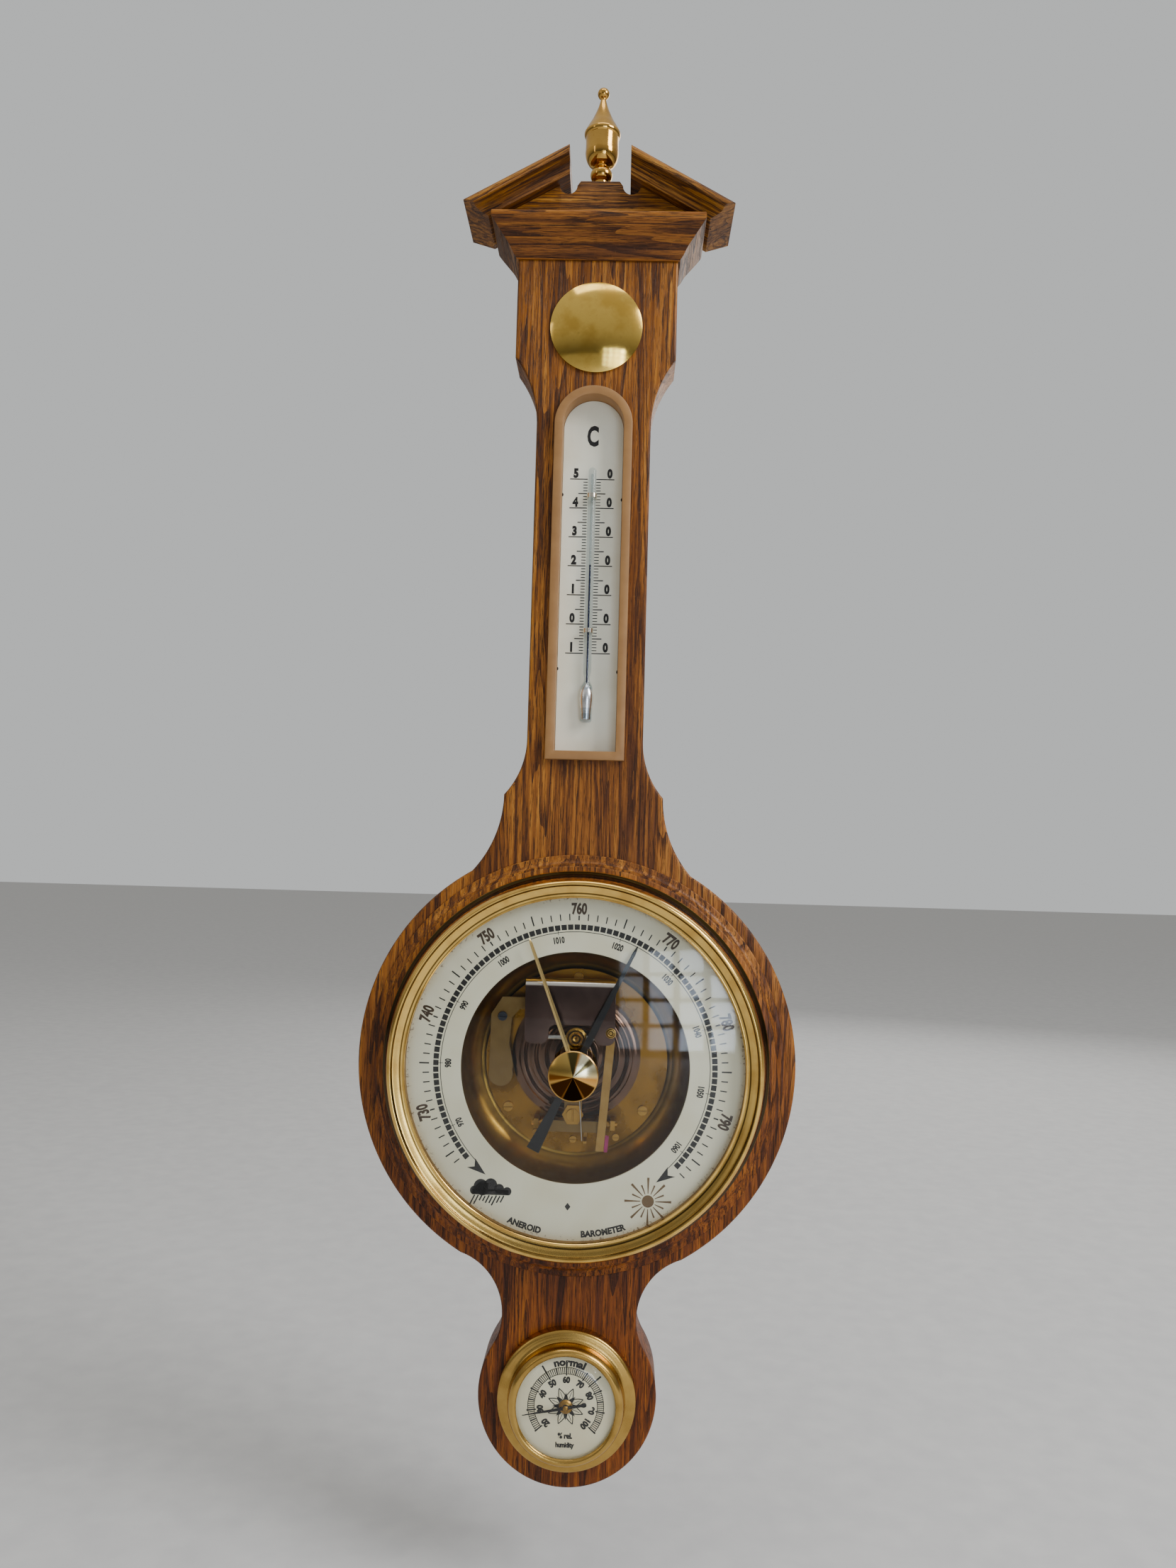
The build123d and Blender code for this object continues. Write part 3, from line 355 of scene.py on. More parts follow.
def oak(name, turn=(0, 0, 0), shift=(0, 0, 0), warmth=0.0, gloss=0.38, darkened=0.0):
    """Rustic oak whose grain runs along Z after the turn.

    Growth bands are contours of a noise drawn out along the grain; open pores are short dark
    streaks, thickest in the bands' early wood; rays are faint pale flecks across them. A painted
    shade deepens downwards from 245 mm to 455 mm below the hanger, for the light falling off
    towards the foot, and the wood is darker all over by the darkened amount.
    """
    paint = Paint(name, IOR=1.38, Coat_Roughness=0.25, Coat_Weight=0.06)
    where = paint.place(turn=turn, shift=shift)
    wander = paint.vector("MULTIPLY", where, (0.05, 0.05, 0.003))
    bands = paint.noise(wander, 1.0, 3.0, 0.45, 0.35)
    ring = (bands * 15.0).maths("FRACT")
    early = 1.0 - paint.band(ring, 0.0, 0.55)
    streak = paint.noise(paint.vector("MULTIPLY", where, (2.0, 2.0, 0.04)), 1.0, 5.0, 0.62)
    fine = paint.noise(paint.vector("MULTIPLY", where, (4.4, 4.4, 0.12)), 1.0, 3.0, 0.6)
    long_streak = paint.noise(paint.vector("MULTIPLY", where, (0.55, 0.55, 0.012)), 1.0, 4.0, 0.6)
    ray = paint.noise(paint.vector("MULTIPLY", where, (0.5, 0.5, 0.9)), 1.0, 2.0, 0.5)
    cloud = paint.noise(wander, 0.8, 2.0, 0.5)
    tone = long_streak * 0.42 + streak * 0.30 + early * -0.08 + cloud * 0.28
    wood = paint.ramp(tone, (0.39, srgb(84 + warmth, 42, 5)), (0.455, srgb(124 + warmth, 70, 14)),
                      (0.525, srgb(164 + warmth, 101, 29)), (0.60, srgb(196 + warmth, 132, 50)))
    pores = paint.band(fine * 0.7 + streak * 0.3 + early * 0.05, 0.53, 0.575)
    deep = paint.band(streak + early * 0.05, 0.585, 0.65)
    # painted shade: darker towards the foot, where less light falls, and darker all over by the darkened
    # amount
    painted_shade = 1.0 + darkened - paint.band(paint.height(), -455.0, -245.0)
    wood = paint.mix(painted_shade, wood, (0.70, 0.50, 0.16, 1.0), "MULTIPLY")
    flecks = paint.band(ray, 0.62, 0.72)
    wood = paint.mix(pores * 0.86, wood, srgb(44, 21, 5))
    wood = paint.mix(deep * 0.66, wood, srgb(42, 20, 5))
    wood = paint.mix(flecks * 0.10, wood, srgb(176, 116, 48))
    height = 1.0 - pores * 0.5 - deep * 0.5 + fine * 0.12
    paint.finish(Base_Color=wood, Roughness=gloss + pores * 0.22 + cloud * 0.08,
                 Normal=paint.bump(height, 0.18, 0.7))
    return paint


upright_oak = oak("oak_upright")
CENTRE_Z = BARO[1] / MM
HYG_Z = CENTRE_Z - 147.8
TOP_Z = board_high.z / MM
FOOT_R, DISC_R, PANEL_HALF, WAIST_HALF = 40.1, 100.0, 38.1, 27.0


def case_side():
    """Right half of the outline, from the top centre round to the bottom centre."""
    disc_top = (50.5, math.sqrt(DISC_R**2 - 50.5**2))
    disc_low = (50.0, -math.sqrt(DISC_R**2 - 50.0**2))
    neck, hyg = (30.4, -113.5), HYG_Z - CENTRE_Z
    lobe = (34.5, hyg + math.sqrt(FOOT_R**2 - 34.5**2))
    lean = math.degrees(math.atan2(disc_top[1], disc_top[0]))
    low_lean = math.degrees(math.atan2(disc_low[1], disc_low[0]))
    lobe_lean = math.degrees(math.atan2(lobe[1] - hyg, lobe[0]))
    top = TOP_Z - CENTRE_Z
    straight_top = np.column_stack([np.linspace(0, PANEL_HALF, 10), np.full(10, top)])
    panel = np.column_stack([np.full(30, PANEL_HALF), np.linspace(top, 330.0, 30)])
    shoulder = leaving_arc((WAIST_HALF, 297.0), (PANEL_HALF, 330.0), 22)[::-1]
    shaft = np.column_stack([np.full(40, WAIST_HALF), np.linspace(297.0, 148.0, 40)])
    low_shoulder = leaving_arc((WAIST_HALF, 148.0), (36.9, 122.0), 18)
    skirt = leaving_arc((36.9, 122.0), disc_top, 22)
    disc = arc((0, 0), DISC_R, lean, low_lean, 150)
    neck_arc = leaving_arc(neck, disc_low, 20)[::-1]
    lobe_arc = leaving_arc(neck, lobe, 12)
    foot = arc((0, hyg), FOOT_R, lobe_lean, -90, 70)
    rest = [panel, shoulder, shaft, low_shoulder, skirt, disc, neck_arc, lobe_arc, foot]
    return np.vstack([straight_top] + [part[1:] for part in rest]) + (0, CENTRE_Z)


def hole_half(z, holes):
    """Half-width of the openings at each height: the widest of the round ones and the slots."""
    half = np.zeros_like(z)
    for kind, low, high, size in holes:
        middle = (low + high) / 2
        if kind == "round":
            half = np.maximum(half, np.sqrt(np.clip(size**2 - (z - middle) ** 2, 0, None)))
        else:
            half = np.maximum(half, np.where((z > low) & (z < high), size, 0.0))
    return half


def build_board():
    """The edge profile carried round the outline; each face runs in rows from the edge to a hole.

    Points of the outline sit at the same heights as the rows, so the holes' edges are found
    from each row's height.
    """
    side = case_side()
    soft, pan_r, cover_r, hyg_r, slot_half = 1.1, 78.6, 66.3, 26.0, 17.0
    hanger_low, hanger_high, hanger_half = -13.0, 21.0, 13.0
    step = np.gradient(side, axis=0)
    normal = np.column_stack([-step[:, 1], step[:, 0]])
    normal /= np.linalg.norm(normal, axis=1)[:, None]
    thermo_low, thermo_high = (corner.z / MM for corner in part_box("thermometer_frame"))
    slot_low, slot_high = thermo_low + 1.4, thermo_high - 1.4
    front_holes = [("round", CENTRE_Z - pan_r, CENTRE_Z + pan_r, pan_r),
                   ("round", HYG_Z - hyg_r, HYG_Z + hyg_r, hyg_r),
                   ("slot", slot_low, slot_high - slot_half, slot_half),
                   ("round", slot_high - 2 * slot_half, slot_high, slot_half)]
    back_holes = [("round", CENTRE_Z - cover_r, CENTRE_Z + cover_r, cover_r),
                  ("slot", hanger_low, hanger_high, hanger_half)]
    half_turn = np.cos(np.linspace(0, np.pi, 60))
    quarter_turn = np.sin(np.linspace(0, np.pi / 2, 24))
    steps = [edge + gap for edge in (hanger_low, hanger_high, slot_low) for gap in (-0.01, 0.01)]
    cut = np.unique(np.concatenate([CENTRE_Z + pan_r * half_turn, CENTRE_Z + cover_r * half_turn, steps,
                                    slot_high - slot_half + slot_half * quarter_turn]))
    heights = np.unique(np.round(np.concatenate([side[:, 1], cut]), 3))[::-1]
    falling = side[9:]
    reach = np.interp(heights, falling[::-1, 1], falling[::-1, 0])
    lean_x = np.interp(heights, falling[::-1, 1], normal[9:][::-1, 0])
    lean_z = np.interp(heights, falling[::-1, 1], normal[9:][::-1, 1])
    ring = []
    rounded = [(BOARD_OUT - soft * (1 - math.sin(a)), soft * (1 - math.cos(a)))
               for a in np.linspace(0, math.pi / 2, 6)]
    for depth, lift in [(0.0, 0.6), (0.6, 0.0)] + rounded:
        ring.append(np.column_stack([reach - lift * lean_x, np.full_like(heights, -depth),
                                     heights - lift * lean_z]))
    for place, margin in ((len(ring), 1.6), (0, 1.2)):
        start = ring[place - 1] if place else ring[0]
        ring.insert(place, start - margin * np.column_stack([lean_x, 0 * lean_x, lean_z]))
    front_inner = hole_half(heights, front_holes)
    back_inner = hole_half(heights, back_holes)
    front_edge, back_edge = ring[-1], ring[0]
    inner_front = np.column_stack([np.minimum(front_inner, front_edge[:, 0]),
                                   np.full_like(heights, -BOARD_OUT), front_edge[:, 2]])
    inner_back = np.column_stack([np.minimum(back_inner, back_edge[:, 0]), np.zeros_like(heights),
                                  back_edge[:, 2]])
    floor_back = inner_back + (0, -2.0, 0)
    wall_front = inner_front + (0, 6.0, 0)
    columns = [floor_back, inner_back] + ring + [inner_front, wall_front]
    points = np.stack(columns, 1)
    rows, count = points.shape[:2]
    faces = grid_faces(rows, count)
    left = points * (-1, 1, 1)
    both = np.vstack([points.reshape(-1, 3), left.reshape(-1, 3)])
    faces = np.vstack([faces, faces[:, ::-1] + rows * count])
    faces = faces[(np.abs(both[faces][:, :, 0]) > 1e-6).any(1)]
    piece("oak_board", both, faces, "case", "oak", upright_oak, ["case_board"])


build_board()


# ---- Wooden ring ---------------------------------------------------------------------------
# A turned oak ring with a hollow edge, screwed under the barometer's bezel. Its face has the
# grain of the board, from another plank.
def curve(points, count):
    """A smooth curve through points: cubic between neighbours, with chord-length slopes."""
    points = np.asarray(points, float)
    chord = np.concatenate([[0], np.cumsum(np.linalg.norm(np.diff(points, axis=0), axis=1))])
    slope = np.gradient(points, chord, axis=0)
    at = np.linspace(0, chord[-1], count)
    k = np.clip(np.searchsorted(chord, at, side="right") - 1, 0, len(points) - 2)
    span = (chord[k + 1] - chord[k])[:, None]
    t = (at - chord[k])[:, None] / span
    return ((2 * t**3 - 3 * t**2 + 1) * points[k] + (t**3 - 2 * t**2 + t) * span * slope[k]
            + (3 * t**2 - 2 * t**3) * points[k + 1] + (t**3 - t**2) * span * slope[k + 1])


def lathe(profile, centre, steps=180, upright=False):
    """Points and faces of a closed profile of (radius, height), turned about an axis.

    At angle a the point (r, h) lies at (cx + r sin a, -h, cz + r cos a); with an upright axis,
    whose centre is (cx, distance from the wall), at (cx + r sin a, -out - r cos a, h).
    """
    profile = np.asarray(profile, float)
    angle = np.linspace(0, 2 * np.pi, steps, endpoint=False)[:, None]
    across = centre[0] + profile[:, 0] * np.sin(angle)
    other = profile[:, 0] * np.cos(angle)
    height = np.broadcast_to(profile[:, 1], across.shape)
    if upright:
        points = np.stack([across, -centre[1] - other, height], -1)
    else:
        points = np.stack([across, -height, centre[1] + other], -1)
    return points.reshape(-1, 3), grid_faces(steps, len(profile), True, True)


BARO_AT = (0.0, CENTRE_Z)
ring_oak = oak("oak_ring", shift=(0.31, 0.12, 0.2))
ring_nose = arc((94.3, 27.0), 0.6, 0, 90, 5)
ring_cove = curve([(93.9, 27.6), (92.8, 27.8), (91.7, 28.3), (90.9, 29.0), (90.5, 29.9)], 20)
ring_step = arc((89.0, 30.2), 0.8, 0, 90, 6)
ring_profile = np.vstack([[(78.5, 26.0), (94.9, 26.0)], ring_nose, ring_cove, [(89.8, 29.95)], ring_step,
                          [(78.5, 31.0)]])
piece("oak_ring", *lathe(ring_profile, BARO_AT, 240), "case", "oak", ring_oak, ["dial_ring"])


# ---- Cornice -------------------------------------------------------------------------------
# An oak moulding with a hollow-and-round face, mitred round the board's head in three lengths.
# Its grain runs along each length.
CORNICE_LOW, CORNICE_TOP, CORNICE_REACH = CENTRE_Z + 377.3, CENTRE_Z + 395.6, 12.3
LEVEL = {"turn": (0, math.radians(90), 0), "shift": (0.05, 0.3, 0.1), "warmth": -4}
level_oak = oak("oak_level", **LEVEL)
cornice_oak = oak("oak_cornice", darkened=0.5, **LEVEL)
return_oak = oak("oak_return", turn=(math.radians(90), 0, 0), shift=(0.2, 0.1, 0.4), warmth=-10, darkened=0.35)
ogee = curve([(0.9, 0.6), (2.1, 2.0), (4.0, 5.2), (7.2, 9.1), (10.2, 12.6), (11.9, 14.8)], 20)
nose = arc((CORNICE_REACH - 0.9, 17.4), 0.9, 0, 90, 6)
moulding = np.vstack([[(0.0, 0.0), (0.9, 0.0)], ogee, [(CORNICE_REACH, 15.4)], nose, [(0.0, 18.3)]])


def swept(ends):
    """A closed section at each of several places, joined in order, with flat caps."""
    rows, count = len(ends), len(ends[0])
    faces = [tuple(face) for face in grid_faces(rows, count, False, True)]
    faces += [tuple(range(count)), tuple(range(rows * count - 1, (rows - 1) * count - 1, -1))]
    return np.vstack(ends), faces


reach, up = moulding[:, 0], moulding[:, 1] + CORNICE_LOW
front_ends = [np.column_stack([s * (PANEL_HALF + reach), -BOARD_OUT - reach, up]) for s in (-1, 1)]
piece("oak_cornice_front", *swept(front_ends), "case", "oak", cornice_oak, ["cornice_front"])
for label, s in (("left", -1), ("right", 1)):
    x = s * (PANEL_HALF + reach)
    ends = [np.column_stack([x, -BOARD_OUT - reach - 0.02, up]), np.column_stack([x, 0 * reach, up])]
    piece(f"oak_cornice_{label}", *swept(ends), "case", "oak", return_oak, [f"cornice_return_{label}"])


# ---- Tympanum and raking mouldings ---------------------------------------------------------
# The gable over the cornice: an oak block with a scoop each side of its platform, and a moulded
# bar on each slope, cut off upright at the gap and square-ish to the slope at the eaves.
RAKE_OUTER, RAKE_INNER = (64.6, CENTRE_Z + 398.7), (14.2, CENTRE_Z + 426.9)
RAKE_THICK, RAKE_DEPTH = 8.3, 40.5
PLATFORM_HALF, PLATFORM_Z = 9.3, CENTRE_Z + 416.8
SLOPE = (RAKE_INNER[1] - RAKE_OUTER[1]) / (RAKE_OUTER[0] - RAKE_INNER[0])


SCOOP_X, SCOOP_Z, SCOOP_R = 15.1, CENTRE_Z + 414.6, 4.2


def gable_top(x):
    """Height of the block's top at each distance from the centre."""
    under = RAKE_INNER[1] - (x - RAKE_INNER[0]) * SLOPE - RAKE_THICK * math.hypot(SLOPE, 1)
    scoop = SCOOP_Z - np.sqrt(np.clip(SCOOP_R**2 - (x - SCOOP_X) ** 2, 0, None))
    flank = PLATFORM_Z - np.clip(x - PLATFORM_HALF, 0, None) * 1.4
    return np.where(x < 10.95, flank, np.where(x < 19.3, scoop, under))


half_x = np.unique(np.concatenate([np.linspace(0, PLATFORM_HALF, 8), np.linspace(PLATFORM_HALF, 10.94, 5),
                                   SCOOP_X - SCOOP_R * np.cos(np.linspace(0.06, np.pi, 26)),
                                   np.linspace(19.9, 50.4, 20)]))
gable_x = np.concatenate([-half_x[:0:-1], half_x])
crest = gable_top(np.abs(gable_x))
base = np.full_like(crest, CORNICE_TOP)
soft = 0.7
ends = []
for x, low, high in zip(gable_x, base, crest):
    ends.append(np.array([(x, 0, low), (x, -BOARD_OUT, low), (x, -BOARD_OUT, high - soft),
                          (x, -BOARD_OUT + 0.2, high - 0.2), (x, -BOARD_OUT + soft, high), (x, 0, high)]))
piece("oak_tympanum", *swept(ends), "case", "oak", level_oak, ["tympanum"], sharp=30)

slant = math.degrees(math.atan(SLOPE))
rake_run = np.array([RAKE_INNER[0] - RAKE_OUTER[0], RAKE_INNER[1] - RAKE_OUTER[1]])
rake_run /= np.linalg.norm(rake_run)
rake_down = np.array([-rake_run[1], rake_run[0]])
rake_nose = np.vstack([arc((2.0, RAKE_DEPTH - 2.0), 2.0, 180, 90, 10),
                       arc((2.6, RAKE_DEPTH - 1.2), 1.2, 80, 0, 6)])
rake_cove = curve([(3.9, 38.6), (4.2, 36.4), (5.2, 34.2), (6.7, 32.4), (RAKE_THICK, 31.2)], 16)
section = np.vstack([[(0.0, 0.0)], rake_nose, rake_cove, [(RAKE_THICK, 0.0)]])
GAP_X, EAVES_AT, EAVES_RISE = 14.4, (52.7, CENTRE_Z + 396.0), 0.2966


def softened(made, width, angle):
    """Narrow bevels on the edges sharper than an angle."""
    edge = made.modifiers.new("softened", "BEVEL")
    edge.width = width * MM
    edge.segments = 2
    edge.angle_limit = math.radians(angle)
    edge.harden_normals = True


for label, s in (("left", -1), ("right", 1)):
    start = np.array(RAKE_OUTER) + section[:, :1] * rake_down
    inner_t = (GAP_X - start[:, 0]) / rake_run[0]
    cut = start[:, 1] - EAVES_AT[1] - (start[:, 0] - EAVES_AT[0]) * EAVES_RISE
    outer_t = -cut / (rake_run[1] - EAVES_RISE * rake_run[0])
    ends = []
    for t in (outer_t, inner_t):
        at = start + t[:, None] * rake_run
        ends.append(np.column_stack([s * at[:, 0], -section[:, 1], at[:, 1]]))
    along_slope = (0, math.radians(s * (90 - slant)), 0)
    rake_oak = oak(f"oak_rake_{label}", turn=along_slope, shift=(0.1 * s, 0.2, 0.3), warmth=-6)
    made = piece(f"oak_rake_{label}", *swept(ends), "case", "oak", rake_oak, [f"rake_moulding_{label}"])
    softened(made, 0.6, 50)


def refined(node, paint, body="case", soften=0.12):
    """A CAD node's own shape, welded into whole faces, with softened edges."""
    mesh = frame["nodes"][node].data.copy()
    mesh.name = f"fine_{node}"
    work = bmesh.new()
    work.from_mesh(mesh)
    bmesh.ops.remove_doubles(work, verts=work.verts, dist=2e-6)
    bmesh.ops.dissolve_limit(work, angle_limit=math.radians(0.6), verts=work.verts, edges=work.edges)
    work.to_mesh(mesh)
    work.free()
    mesh.shade_smooth()
    mesh.set_sharp_from_angle(angle=math.radians(35))
    mesh.materials.clear()
    made = shown(f"fine_{node}", mesh, paint, body, [node])
    if soften:
        softened(made, soften, 40)


beech = Paint("beech", Roughness=0.6)
beech_grain = beech.noise(beech.place((300, 300, 20)), 3.0)
beech.finish(Base_Color=beech.mottled(beech_grain, (190, 150, 105), (208, 170, 124)))
refined("tympanum_dowels", beech, soften=0)


# ---- Finial --------------------------------------------------------------------------------
# A turned brass urn with a spire and ball, polished and lacquered, pinned on the platform. It
# has gone a little brown in places.
def brass(name, clean, dull, polish, tarnish=0.5, grain=(1, 1, 1), lines=0.0, specks=0.0):
    """Metal that goes from clean to dull in soft clouds, with hairline marks along its grain."""
    paint = Paint(name, Metallic=1.0, IOR=1.5)
    where = paint.place()
    cloud = paint.noise(where, 0.09, 4.0, 0.55)
    hairline = paint.noise(paint.vector("MULTIPLY", where, grain), 3.0, 3.0, 0.6)
    patch = paint.band(cloud, 0.42, 0.68) * tarnish
    colour = paint.mix(patch, clean, dull)
    colour = paint.mix(paint.band(hairline, 0.45, 0.75) * 0.25, colour, dull)
    spots = paint.band(paint.noise(where, 1.3, 2.0, 0.4), 0.70, 0.76) * specks
    colour = paint.mix(spots, colour, srgb(70, 48, 24))
    paint.finish(Base_Color=colour, Roughness=patch * 0.10 + hairline * lines + spots * 0.3 + polish,
                 Normal=paint.bump(hairline, 0.02, 0.15 + lines))
    return paint


GOLD, OLD_GOLD = srgb(226, 178, 92), srgb(170, 118, 50)
polished = brass("brass_polished", GOLD, OLD_GOLD, 0.10, 0.5, specks=0.5)
foot = curve([(3.3, 0.2), (3.3, 3.4), (3.3, 6.4)], 4)
collar = curve([(3.5, 6.7), (4.6, 7.6), (5.2, 8.8), (5.4, 10.2), (5.0, 11.7), (4.2, 12.8), (3.7, 13.8)], 24)
cup = curve([(3.9, 14.1), (4.8, 14.6), (6.0, 15.4), (7.1, 16.9), (7.9, 19.2), (8.15, 21.0)], 22)
drum = curve([(8.1, 21.6), (8.0, 25.0), (8.1, 29.0)], 6)
lip = curve([(8.5, 29.4), (8.85, 30.4), (8.7, 31.6), (8.2, 32.4)], 10)
spire = curve([(8.0, 32.9), (7.2, 34.4), (5.6, 37.2), (4.0, 40.6), (2.4, 44.6), (1.3, 48.4)], 26)
ball = arc((0, 51.6), 2.9, -62, 90, 24)
finial_profile = np.vstack([[(0, 0)], foot, collar, cup, drum, lip, spire, ball]) + (0, PLATFORM_Z)
finial_profile[-1, 0] = 0.0
piece("brass_finial", *lathe(finial_profile, (0, 13.0), 96, True), "case", "polished_brass", polished,
      ["finial"], 30)


# ---- Domed boss ----------------------------------------------------------------------------
# A thin spun brass dome on the panel under the cornice, held by a steel pin behind it. It is
# cleaner than the finial.
dome_r, dome_rise = 21.85, 4.2
dome_sphere = (dome_r**2 + dome_rise**2) / (2 * dome_rise)
dome_edge = math.degrees(math.asin(dome_r / dome_sphere))
dome_top = arc((0, 27.0 + dome_rise - dome_sphere), dome_sphere, 90 - dome_edge, 90, 44)
dome_profile = np.vstack([[(0, 26.2), (dome_r - 0.6, 26.0), (dome_r - 0.1, 26.2), (dome_r, 26.6)], dome_top])
dome_profile[-1, 0] = 0.0
BOSS_AT = (0.0, CENTRE_Z + 344.5)
boss_brass = brass("brass_boss", srgb(246, 206, 104), srgb(204, 158, 62), 0.10, 0.6, specks=0.35)
piece("brass_boss", *lathe(dome_profile, BOSS_AT, 160), "case", "polished_brass", boss_brass, ["boss_dome"])
steel = Paint("steel_plain", Metallic=1.0)
steel_cloud, steel_fine = steel.noise(steel.place(), 0.6, 3.0), steel.noise(steel.place(), 1.5, 3.0)
steel.finish(Base_Color=steel.mottled(steel_cloud, (168, 168, 166), (196, 196, 192)),
             Roughness=steel_fine * 0.2 + 0.24)
refined("boss_pin", steel, soften=0)


# ---- Back ----------------------------------------------------------------------------------
# A pressed fibre cover over the movement, a zinc-plated keyhole hanger let into the board's
# head, and countersunk screws.
fibre = Paint("fibre", Roughness=0.85)
fibre_at = fibre.place()
fibre_fine, fibre_flake = fibre.noise(fibre_at, 1.6, 4.0, 0.7), fibre.noise(fibre_at, 0.25, 3.0, 0.6)
fibre.finish(Base_Color=fibre.ramp(fibre_fine * 0.6 + fibre_flake * 0.4, (0.35, srgb(96, 70, 46)),
                                   (0.5, srgb(124, 94, 64)), (0.66, srgb(146, 114, 80))),
             Normal=fibre.bump(fibre_fine, 0.08, 0.6))
refined("back_cover", fibre, soften=0.3)
refined("hanger_plate", steel, soften=0.2)
refined("wood_screws", steel, soften=0)


# ---- Thermometer frame and plate -----------------------------------------------------------
# A moulded tan plastic tray with a round head, let into the board. A cream card plate lies in
# it, printed in black with the degrees and with four notches at its edge.
frame_low, frame_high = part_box("thermometer_frame")
TRAY_HALF, TRAY_LOW, TRAY_TOP = frame_high.x / MM, frame_low.z / MM, frame_high.z / MM


def tray_loop(inset):
    """The tray's outline moved inwards: up one side, round the head, down the other, and along."""
    half, middle = TRAY_HALF - inset, TRAY_TOP - TRAY_HALF
    low = TRAY_LOW + inset
    side = np.column_stack([np.full(24, half), np.linspace(low, middle, 24)])
    head = arc((0, middle), half, 0, 180, 49)[1:-1]
    foot = np.column_stack([np.linspace(-half, half, 8), np.full(8, low)])[1:-1]
    return np.vstack([side, head, side[::-1] * (-1, 1), foot])


def tray(profile):
    """Points and faces of a section of (inset, distance out) carried round the tray's outline."""
    rings = [np.insert(tray_loop(inset), 1, -out, axis=1) for inset, out in profile]
    count = len(rings[0])
    faces = [tuple(face) for face in grid_faces(len(rings), count, False, True)]
    faces += [tuple(range(count)), tuple(range(len(rings) * count - 1, (len(rings) - 1) * count - 1, -1))]
    return np.vstack(rings), faces


plastic = Paint("tan_plastic", Roughness=0.42, IOR=1.5)
plastic_at = plastic.place()
plastic_mist = plastic.noise(plastic_at, 0.12, 3.0, 0.5)
plastic_skin = plastic.noise(plastic_at, 6.0, 2.0, 0.5)
plastic.finish(Base_Color=plastic.mottled(plastic_mist, (150, 108, 62), (164, 121, 72)),
               Roughness=plastic_skin * 0.15 + 0.36, Normal=plastic.bump(plastic_skin, 0.03, 0.25))
tray_profile = [(1.7, 17.0), (1.7, 26.0), (0.0, 26.0), (0.0, 28.5), (0.15, 28.85), (0.5, 29.0), (3.7, 29.0),
                (3.98, 28.9), (4.1, 28.6), (4.1, 18.8)]
piece("tan_frame", *tray(tray_profile), "case", "frame_plastic", plastic, ["thermometer_frame"])


def card(name, ground, mottled, edge_from=None):
    """Lacquered card: fine speckle, slight yellowing and, near an edge, a few rust-brown spots."""
    paint = Paint(name, Roughness=0.42, IOR=1.45)
    where = paint.place()
    mist = paint.noise(where, 0.05, 3.0, 0.5)
    grit = paint.noise(where, 4.0, 2.0, 0.6)
    colour = paint.mix(paint.band(mist, 0.35, 0.75) * 0.55, ground, mottled)
    colour = paint.mix(paint.band(grit, 0.55, 0.75) * 0.10, colour, srgb(150, 142, 120))
    if edge_from:
        centre, radius, span = edge_from
        far = paint.around(where, centre)[1]
        rim = paint.band(far, radius - span, radius)
        rust = paint.band(paint.noise(where, 0.8, 4.0, 0.7) + rim * 0.12, 0.66, 0.74) * rim
        colour = paint.mix(rim * 0.22, colour, srgb(176, 150, 104))
        colour = paint.mix(rust * 0.8, colour, srgb(96, 66, 34))
    paint.finish(Base_Color=colour, Roughness=grit * 0.2 + 0.32, Normal=paint.bump(grit, 0.02, 0.3))
    return paint


plate_card = card("card_plate", srgb(246, 245, 226), srgb(228, 224, 198))
plate_profile = [(4.2, 18.8), (4.2, 19.7), (4.3, 19.8)]
PLATE_OUT = 19.8
piece("cream_plate", *tray(plate_profile), "case", "dial_white", plate_card, ["thermometer_plate"])


def lettering(text, height, squeeze=0.62, weight=0.0):
    """Flat letters of a given height, centred on the origin, drawn narrower by squeeze."""
    font = bpy.data.curves.new("letters", "FONT")
    font.body = text
    font.offset = weight
    font.align_x = "CENTER"
    font.resolution_u = 3
    holder = bpy.data.objects.new("letters", font)
    mesh = holder.to_mesh()
    flat = np.array([vertex.co[:2] for vertex in mesh.vertices])
    faces = [tuple(polygon.vertices) for polygon in mesh.polygons]
    holder.to_mesh_clear()
    bpy.data.objects.remove(holder)
    low, high = flat.min(0), flat.max(0)
    scale = height / (high[1] - low[1])
    return (flat - (low + high) / 2) * (scale * squeeze, scale), faces


def bar(u_low, u_high, v_low, v_high):
    """A flat rectangle."""
    corners = [(u_low, v_low), (u_high, v_low), (u_high, v_high), (u_low, v_high)]
    return np.array(corners, float), [(0, 1, 2, 3)]


def stroke(start, end, width):
    """A straight line of some width."""
    start, end = np.array(start, float), np.array(end, float)
    side = np.array([start[1] - end[1], end[0] - start[0]])
    side *= width / 2 / np.linalg.norm(side)
    return np.array([start - side, end - side, end + side, start + side]), [(0, 1, 2, 3)]


def moved(shape, across, up):
    """A flat shape shifted."""
    return shape[0] + (across, up), shape[1]


def printed(name, shapes, out, centre, paint):
    """Flat ink shapes in one piece, a hair's breadth in front of the surface they are on."""
    points, faces, count = [], [], 0
    for flat, polygons in shapes:
        points.append(np.asarray(flat, float))
        faces += [tuple(int(i) + count for i in polygon) for polygon in polygons]
        count += len(flat)
    flat = np.vstack(points)
    solid = np.column_stack([flat[:, 0] + centre[0], np.full(len(flat), -out - 0.03), flat[:, 1] + centre[1]])
    mesh = bpy.data.meshes.new(name)
    mesh.from_pydata((solid * MM).tolist(), [], faces)
    work = bmesh.new()
    work.from_mesh(mesh)
    bmesh.ops.reverse_faces(work, faces=[face for face in work.faces if face.normal.y > 0])
    work.to_mesh(mesh)
    work.free()
    shown(name, mesh, paint, "case")


